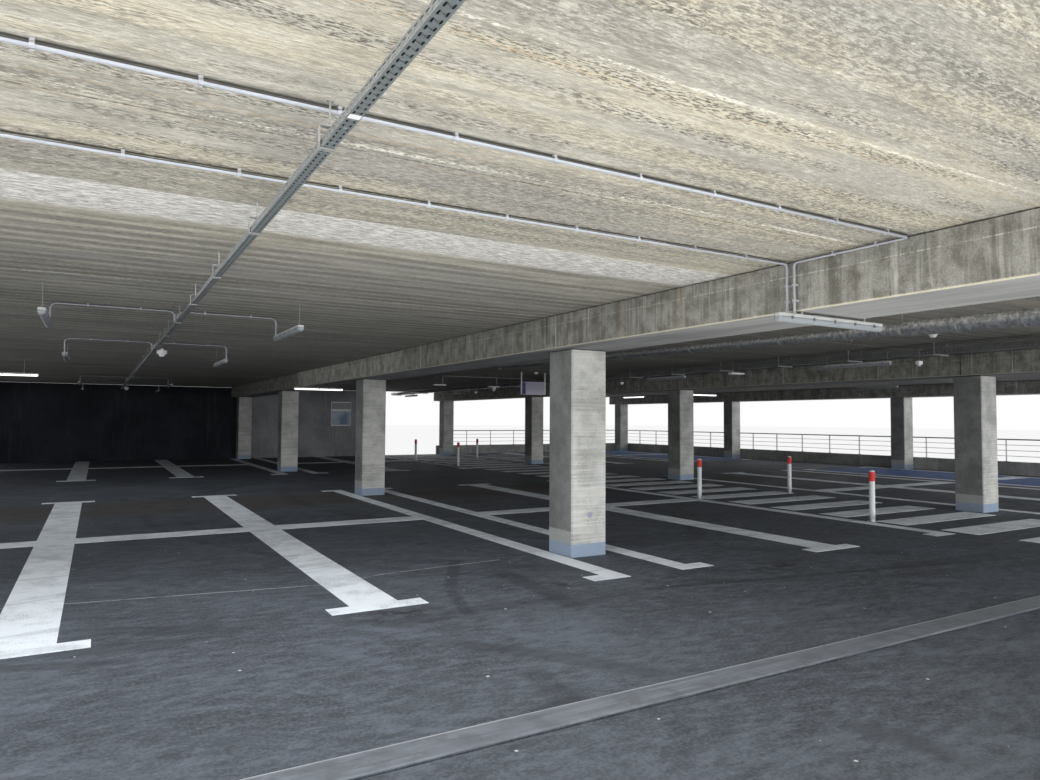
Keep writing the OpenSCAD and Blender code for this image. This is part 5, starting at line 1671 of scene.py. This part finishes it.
def wrapped(name, start, stop, radius, ring_step=0.030, fold_depth=0.0025):
    """A dented cylinder along Y with rings every step."""
    piece = begin("cylinder", name, vertices=PIPE_SIDES, radius=radius, depth=stop - start,
                  location=(0.0, (start + stop) / 2, 0.0), rotation=(QUARTER, 0.0, 0.0))
    ringed(piece, Y, int((stop - start) / ring_step))
    dented(piece, broad_dents, 0.004, 0.62)
    return dented(piece, small_folds, fold_depth)


lengths = [sheared(wrapped("foil_length", low, high, radius)) for low, high, radius in DRAIN_LENGTHS]
for at, high, radius in DRAIN_LENGTHS[:2]:
    lengths.append(sheared(wrapped("coupling", at, at + COUPLING, radius + 0.004, 0.014, 0.004)))
STUB_Y, STUB_RADIUS = DRAIN_LENGTHS[0][1:]
stub_low = drain_z(STUB_Y) - STUB_RADIUS
stub = rod("stub", DRAIN_X, STUB_Y, stub_low, soffit_z, STUB_RADIUS, PIPE_SIDES)
ringed(stub, Z, 9)
lengths.append(dented(stub, small_folds, 0.006))
done("foil_pipe", lengths, foil, "pipe_foil", "drain_pipe", smooth=50.0)

# %% Tape bands and loose ends
TAPE_BANDS = [(-9.92, 0.068, 0.020), (-10.30, 0.068, 0.016), (-11.13, 0.082, 0.018),
              (-11.72, 0.082, 0.018), (-12.9, 0.082, 0.018), (-8.35, 0.054, 0.016),
              (-6.4, 0.054, 0.016), (-4.2, 0.054, 0.016)]
LOOSE_ENDS = [(-10.30, 0.068, 2.5, 0.050), (-10.22, 0.068, 2.1, 0.034), (-9.93, 0.067, 2.7, 0.055),
              (-9.98, 0.067, 1.9, 0.030)]
bands = []
for at, radius, width in TAPE_BANDS:
    band = begin("cylinder", "band", vertices=PIPE_SIDES, radius=radius, depth=width,
                 end_fill_type="NOTHING", location=(0.0, at, 0.0), rotation=(QUARTER, 0.0, 0.0))
    ringed(band, Y, 3)
    dented(band, small_folds, 0.006)
    bands.append(sheared(modify(band, "SOLIDIFY", thickness=0.0012, offset=0.0)))
for at, radius, angle, long in LOOSE_ENDS:
    flap = sheet("flap", 0.022, 0.012)
    pick("EDGE", lambda m, w: m.x > 0.010)
    for k in range(4):
        pull(x=long / 4, y=0.004 * (-1) ** k, z=0.006 * math.sin(k * 2.0))
        squeeze(1.0, 0.8)
    leave()
    modify(flap, "SOLIDIFY", thickness=0.001, offset=0.0)
    flap.data.transform(Matrix.Translation((radius - 0.002, 0.0, 0.0)))
    flap.data.transform(Matrix.Rotation(angle, 4, "Y"))
    flap.data.transform(Matrix.Translation((0.0, at, 0.0)))
    bands.append(sheared(flap))
done("tape_bands", bands, tape, "pipe_foil", "drain_pipe", smooth=50.0)
dress(hanger_zinc, "drain_hangers")

# %% [markdown]
# ## Detectors, sensor boxes and plates
#
# Round things are turned: a ring is pulled up its outline, and scaled at each step. Small drums with
# a domed sensor hang beside the trays, two are fixed flat to the soffit, and plain white boxes and
# plates hang from the wide tray.

# %% A turned shape
DOME_RINGS = [(0.62, 0.35), (0.60, 0.40), (0.56, 0.44), (0.52, 0.78), (0.38, 0.95), (0.12, 1.0)]
FLAT_OUTLINE = [(0.057, 0.0), (0.060, -0.002), (0.060, -0.013), (0.056, -0.016), (0.050, -0.0165),
                (0.048, -0.022), (0.044, -0.026), (0.043, -0.036), (0.036, -0.048), (0.010, -0.052)]
LENS_OUTLINE = [(0.027, 0.0), (0.027, -0.006), (0.024, -0.012), (0.023, -0.020), (0.016, -0.027),
                (0.005, -0.030)]


def turned(name, outline, place, sides=36):
    """A closed round shape about a vertical line, from a list of radius and height."""
    x, y, z = place
    first_radius, first_z = outline[0]
    piece = begin("circle", name, vertices=sides, radius=first_radius, location=(x, y, z + first_z))
    edit(piece, "EDGE")
    bpy.ops.mesh.select_all(action="SELECT")
    bpy.ops.mesh.edge_face_add()
    for (r0, z0), (r1, z1) in zip(outline, outline[1:]):
        pull(z=z1 - z0)
        squeeze(r1 / r0, r1 / r0, 1.0, (x, y, z + z1))
    bpy.ops.mesh.select_all(action="SELECT")
    bpy.ops.mesh.normals_make_consistent(inside=False)
    leave()
    return piece


def drum(name, place, diameter, height):
    """A round base with a seam line, a stepped rim and a domed sensor under it."""
    half = diameter / 2
    dome = diameter * 0.28
    outline = [(0.97, 0.0), (1.0, -0.003), (1.0, -height * 0.40), (0.975, -height * 0.43),
               (0.975, -height * 0.47), (1.0, -height * 0.50), (1.0, -height + 0.008), (0.96, -height),
               (0.66, -height - 0.001)]
    outline += [(share, -height - dome * low) for share, low in DOME_RINGS]
    return turned(name, [(half * share, z) for share, z in outline], place)


# %% Detectors
whites, metals = [], []
DETECTOR_X = tray_x + 0.070
detector_top = tray_low.z - 0.030
for y in (-2.95, 12.55):
    whites.append(drum("drum", (DETECTOR_X, y, detector_top), 0.140, 0.056))
    plate = block("bracket", (tray_x - 0.025, y - 0.020, tray_low.z - 0.005),
                  (DETECTOR_X + 0.010, y + 0.020, tray_low.z))
    round_corners(plate, 0.008)
    leave()
    box = stood("junction", DETECTOR_X, y, 0.020, 0.026, detector_top + 0.001, tray_low.z - 0.006)
    whites.append(soften(box, 0.003, 2))
    metals.append(soften(plate, 0.0006, 1))
for x, y in ((-0.13, -9.20), (-0.44, 0.93)):
    whites.append(turned("flat_detector", FLAT_OUTLINE, (x, y, soffit_z)))
whites.append(drum("drum", (hook_x, -0.85, floor_z + 2.54), 0.091, 0.0364))
metals += tray_hook(-0.85, floor_z + 2.53)

# %% Sensor boxes and hung plates
SENSOR_TOP, SENSOR_TALL = floor_z + 2.56, 0.055
for y in (-8.35, 7.15):
    box = stood("sensor", hook_x, y, 0.050, 0.030, SENSOR_TOP - SENSOR_TALL, SENSOR_TOP)
    edit(box)
    inset(aligned(Y), 0.006, depth=-0.0015)
    leave()
    whites.append(soften(box, 0.004, 3, 50.0))
    whites.append(turned("lens", LENS_OUTLINE, (hook_x, y, SENSOR_TOP - SENSOR_TALL), 28))
    metals += tray_hook(y, SENSOR_TOP - 0.004)
FAR_PLATE_Y = -4.65
PLATES = [(-2.05, PLATE_Y), (-0.35, PLATE_Y), (hook_x - 0.09, FAR_PLATE_Y)]
for x, y in PLATES:
    plate = stood("plate", x, y, 0.175, 0.060, PLATE_Z, PLATE_Z + 0.030)
    round_corners(plate, 0.012)
    inset(aligned(Z, -1), 0.010)
    pull(z=0.004)
    leave()
    whites.append(soften(plate, 0.002, 2, 40.0))
    if x < 0:
        metals.append(rod("plate_rod", x - 0.09, y, PLATE_Z + 0.026, soffit_z, THIN_ROD))
metals.append(rod("plate_rod", hook_x - 0.18, FAR_PLATE_Y, PLATE_Z + 0.026, soffit_z, THIN_ROD))
metals += tray_hook(FAR_PLATE_Y, PLATE_Z + 0.026)
whites.append(drum("drum", (-0.35, PLATE_Y, PLATE_Z), 0.112, 0.0896))
done("detector_set", whites, white_plastic, "detector_white", "detectors")
done("detector_fittings", metals, hanger_zinc, "galvanised_steel", "detectors")

# %% [markdown]
# ## Window in the grey wall
#
# A white frame with a rail across, glass in both lights, and a grey blind that is pulled down a third
# of the way. The frame is one block: its two faces are cut at the rail and inset, and the inner faces
# are bridged, which opens a hole through the block for each light.

# %% Window frame
FRAME_W = 0.060
BLIND_PART = 0.34
win_low, win_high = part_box("wall_window")
win_x, win_y = (win_low.x + win_high.x) / 2, (win_low.y + win_high.y) / 2
rail_mid = win_low.z + 0.62 * (win_high.z - win_low.z) + FRAME_W / 2
lights_z = [(win_low.z, rail_mid), (rail_mid, win_high.z)]
window_frame = block("window_frame", win_low, win_high)
edit(window_frame)
cut(Z, [rail_mid], aligned(Y))
inset(aligned(Y), FRAME_W * 0.75, use_individual=True)
for low, high in lights_z:
    rule = aligned(Y)
    pick("FACE", lambda m, n: rule(m, n) and abs(m.x - win_x) < 0.05 and abs(m.z - (low + high) / 2) < 0.05)
    bpy.ops.mesh.bridge_edge_loops()
leave()
soften(window_frame, 0.004, 2, 40.0)
window_white = plastic_finish("window_white", (0.74, 0.75, 0.76), (0.45, 0.46, 0.47), 0.35, 0.3)
done("window_frame", [window_frame], window_white, "window_white", "wall_window")

# %% Panes and blind
glass, r, place, facing = new_finish("window_glass", 0.08, specular=0.7)
haze = r.ramp(r.noise(place, 1.6, 3.0, 0.6), 0.35, 0.65)
end_finish(glass, r.mix(haze, (0.17, 0.24, 0.33), (0.30, 0.38, 0.47)),
           roughness=r.ramp(haze, 0.0, 1.0, 0.06, 0.16))
panes = []
for low, high in lights_z:
    pane = block("pane", (win_low.x + 0.04, win_y - 0.006, low + 0.04),
                 (win_high.x - 0.04, win_y + 0.006, high - 0.04))
    panes.append(soften(pane, 0.0015, 1))
done("window_panes", panes, glass, "window_white", "wall_window")
blind_low = win_high.z - FRAME_W - BLIND_PART * (win_high.z - win_low.z)
slats = int((win_high.z - 0.05 - blind_low) / 0.025)
blind = block("window_blind", (win_low.x + 0.052, win_y - 0.016, blind_low),
              (win_high.x - 0.052, win_y - 0.010, win_high.z - 0.05))
edit(blind)
cut(Z, [blind_low + 0.025 * k for k in range(1, slats)])
pick("FACE", lambda m, n: n.y < -0.9 and int((m.z - blind_low) / 0.025) % 2 == 0)
pull(y=-0.004)
leave()
blind_cloth = plastic_finish("blind_cloth", (0.33, 0.34, 0.36), (0.22, 0.23, 0.24), 0.5, 0.7, 0.2)
done("window_blind", [blind], blind_cloth, "window_white", "wall_window")

# %% [markdown]
# ## Sign over the aisle
#
# A blank panel between two posts of square tube. A navy square fills its left end, and the rest is
# plain lavender grey, a little paler low down. The faces are inset for a folded rim, and the posts
# are hollowed at their lower ends.

# %% Sign panel
SIGN = (-0.715, 0.035)
SIGN_Y, SIGN_LOW, SIGN_HIGH = 1.25, floor_z + 2.26, floor_z + 2.595
panel = block("panel", (SIGN[0], SIGN_Y - 0.025, SIGN_LOW), (SIGN[1], SIGN_Y + 0.025, SIGN_HIGH))
edit(panel)
for side in (-1, 1):
    inset(aligned(Y, side), 0.010)
    pull(y=-side * 0.002)
leave()
soften(panel, 0.0015, 2)
sign_face, r, place, facing = new_finish("sign_face", 0.32, specular=0.5)
axis = r.axes(place)
low_part = r.ramp(axis[2], SIGN_LOW + 0.20, SIGN_LOW)
dust = r.ramp(r.streaks(place, (5.0, 5.0, 9.0), 3.0, 0.6, flat=False), 0.35, 0.7)
plain = r.mix(low_part, (0.36, 0.35, 0.44), (0.52, 0.51, 0.58))
navy = r.ramp(axis[0], SIGN[0] + 0.142, SIGN[0] + 0.140)
tone = r.mix(navy, plain, (0.030, 0.045, 0.13))
edges = [(X, SIGN[0], 1), (X, SIGN[1], -1), (Z, SIGN_LOW, 1), (Z, SIGN_HIGH, -1)]
rim = r.most(*[r.ramp(axis[k], at + way * 0.011, at + way * 0.009) for k, at, way in edges])
tone = r.over(tone, (0.62, 0.62, 0.65), rim)
tone = r.over(tone, (0.40, 0.40, 0.42), dust, 0.15)
end_finish(sign_face, tone, roughness=r.plus(0.28, r.times(dust, 0.2)))
done("sign_panel", [panel], sign_face, "sign_grey", "hanging_sign")

# %% Sign posts
posts = []
for x in (SIGN[0] + 0.015, SIGN[1] - 0.015):
    post = block("sign_post", (x - 0.015, SIGN_Y - 0.0252, SIGN_LOW + 0.005),
                 (x + 0.015, SIGN_Y + 0.0048, soffit_z - 0.005))
    edit(post)
    inset(aligned(Z, -1), 0.003)
    pull(z=0.02)
    leave()
    plate = block("post_plate", (x - 0.035, SIGN_Y - 0.035, soffit_z - 0.006),
                  (x + 0.035, SIGN_Y + 0.015, soffit_z))
    round_corners(plate, 0.006)
    leave()
    posts += [soften(post, 0.002, 2), plate]
    for side in (-1, 1):
        posts.append(nut("plate_bolt", x + side * 0.024, SIGN_Y - 0.010, soffit_z - 0.009, 0.013, 0.006))
sign_white = plastic_finish("sign_white", (0.66, 0.67, 0.70), (0.42, 0.43, 0.45), 0.35, 0.35)
done("sign_posts", posts, sign_white, "sign_grey", "hanging_sign")

# %% [markdown]
# ## Walkway posts
#
# The turned CAD posts are right as they are. Their finish is white plastic with a red reflecting band
# under the cap, scuffed by shoes near the foot, where street dirt also gathers.

# %% Post finish
RED_BAND = (0.645, 0.796)
post_low, post_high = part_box("walkway_post_1")
post_paint, r, place, facing = new_finish("post_paint", 0.38, specular=0.5)
rise = r.minus(r.axes(place)[2], post_low.z)
smear = r.streaks(place, (26.0, 26.0, 7.0), 3.0, 0.65, flat=False)
tone = r.mix(r.ramp(smear, 0.45, 0.72, 0.0, 0.45), (0.74, 0.78, 0.80), (0.47, 0.50, 0.51))
tone = r.over(tone, (0.24, 0.25, 0.25), r.ramp(rise, 0.22, 0.0), r.ramp(smear, 0.35, 0.6))
red_part = r.times(r.ramp(rise, RED_BAND[0] - 0.001, RED_BAND[0] + 0.001),
                   r.ramp(rise, RED_BAND[1] + 0.001, RED_BAND[1] - 0.001))
red = r.mix(r.ramp(smear, 0.35, 0.65), (0.80, 0.065, 0.055), (0.55, 0.06, 0.055))
end_finish(post_paint, r.mix(red_part, tone, red), roughness=r.ramp(smear, 0.3, 0.7, 0.30, 0.50),
           height=smear, depth=0.0006)
dress(post_paint, *["walkway_post_%d" % k for k in range(1, 7)])
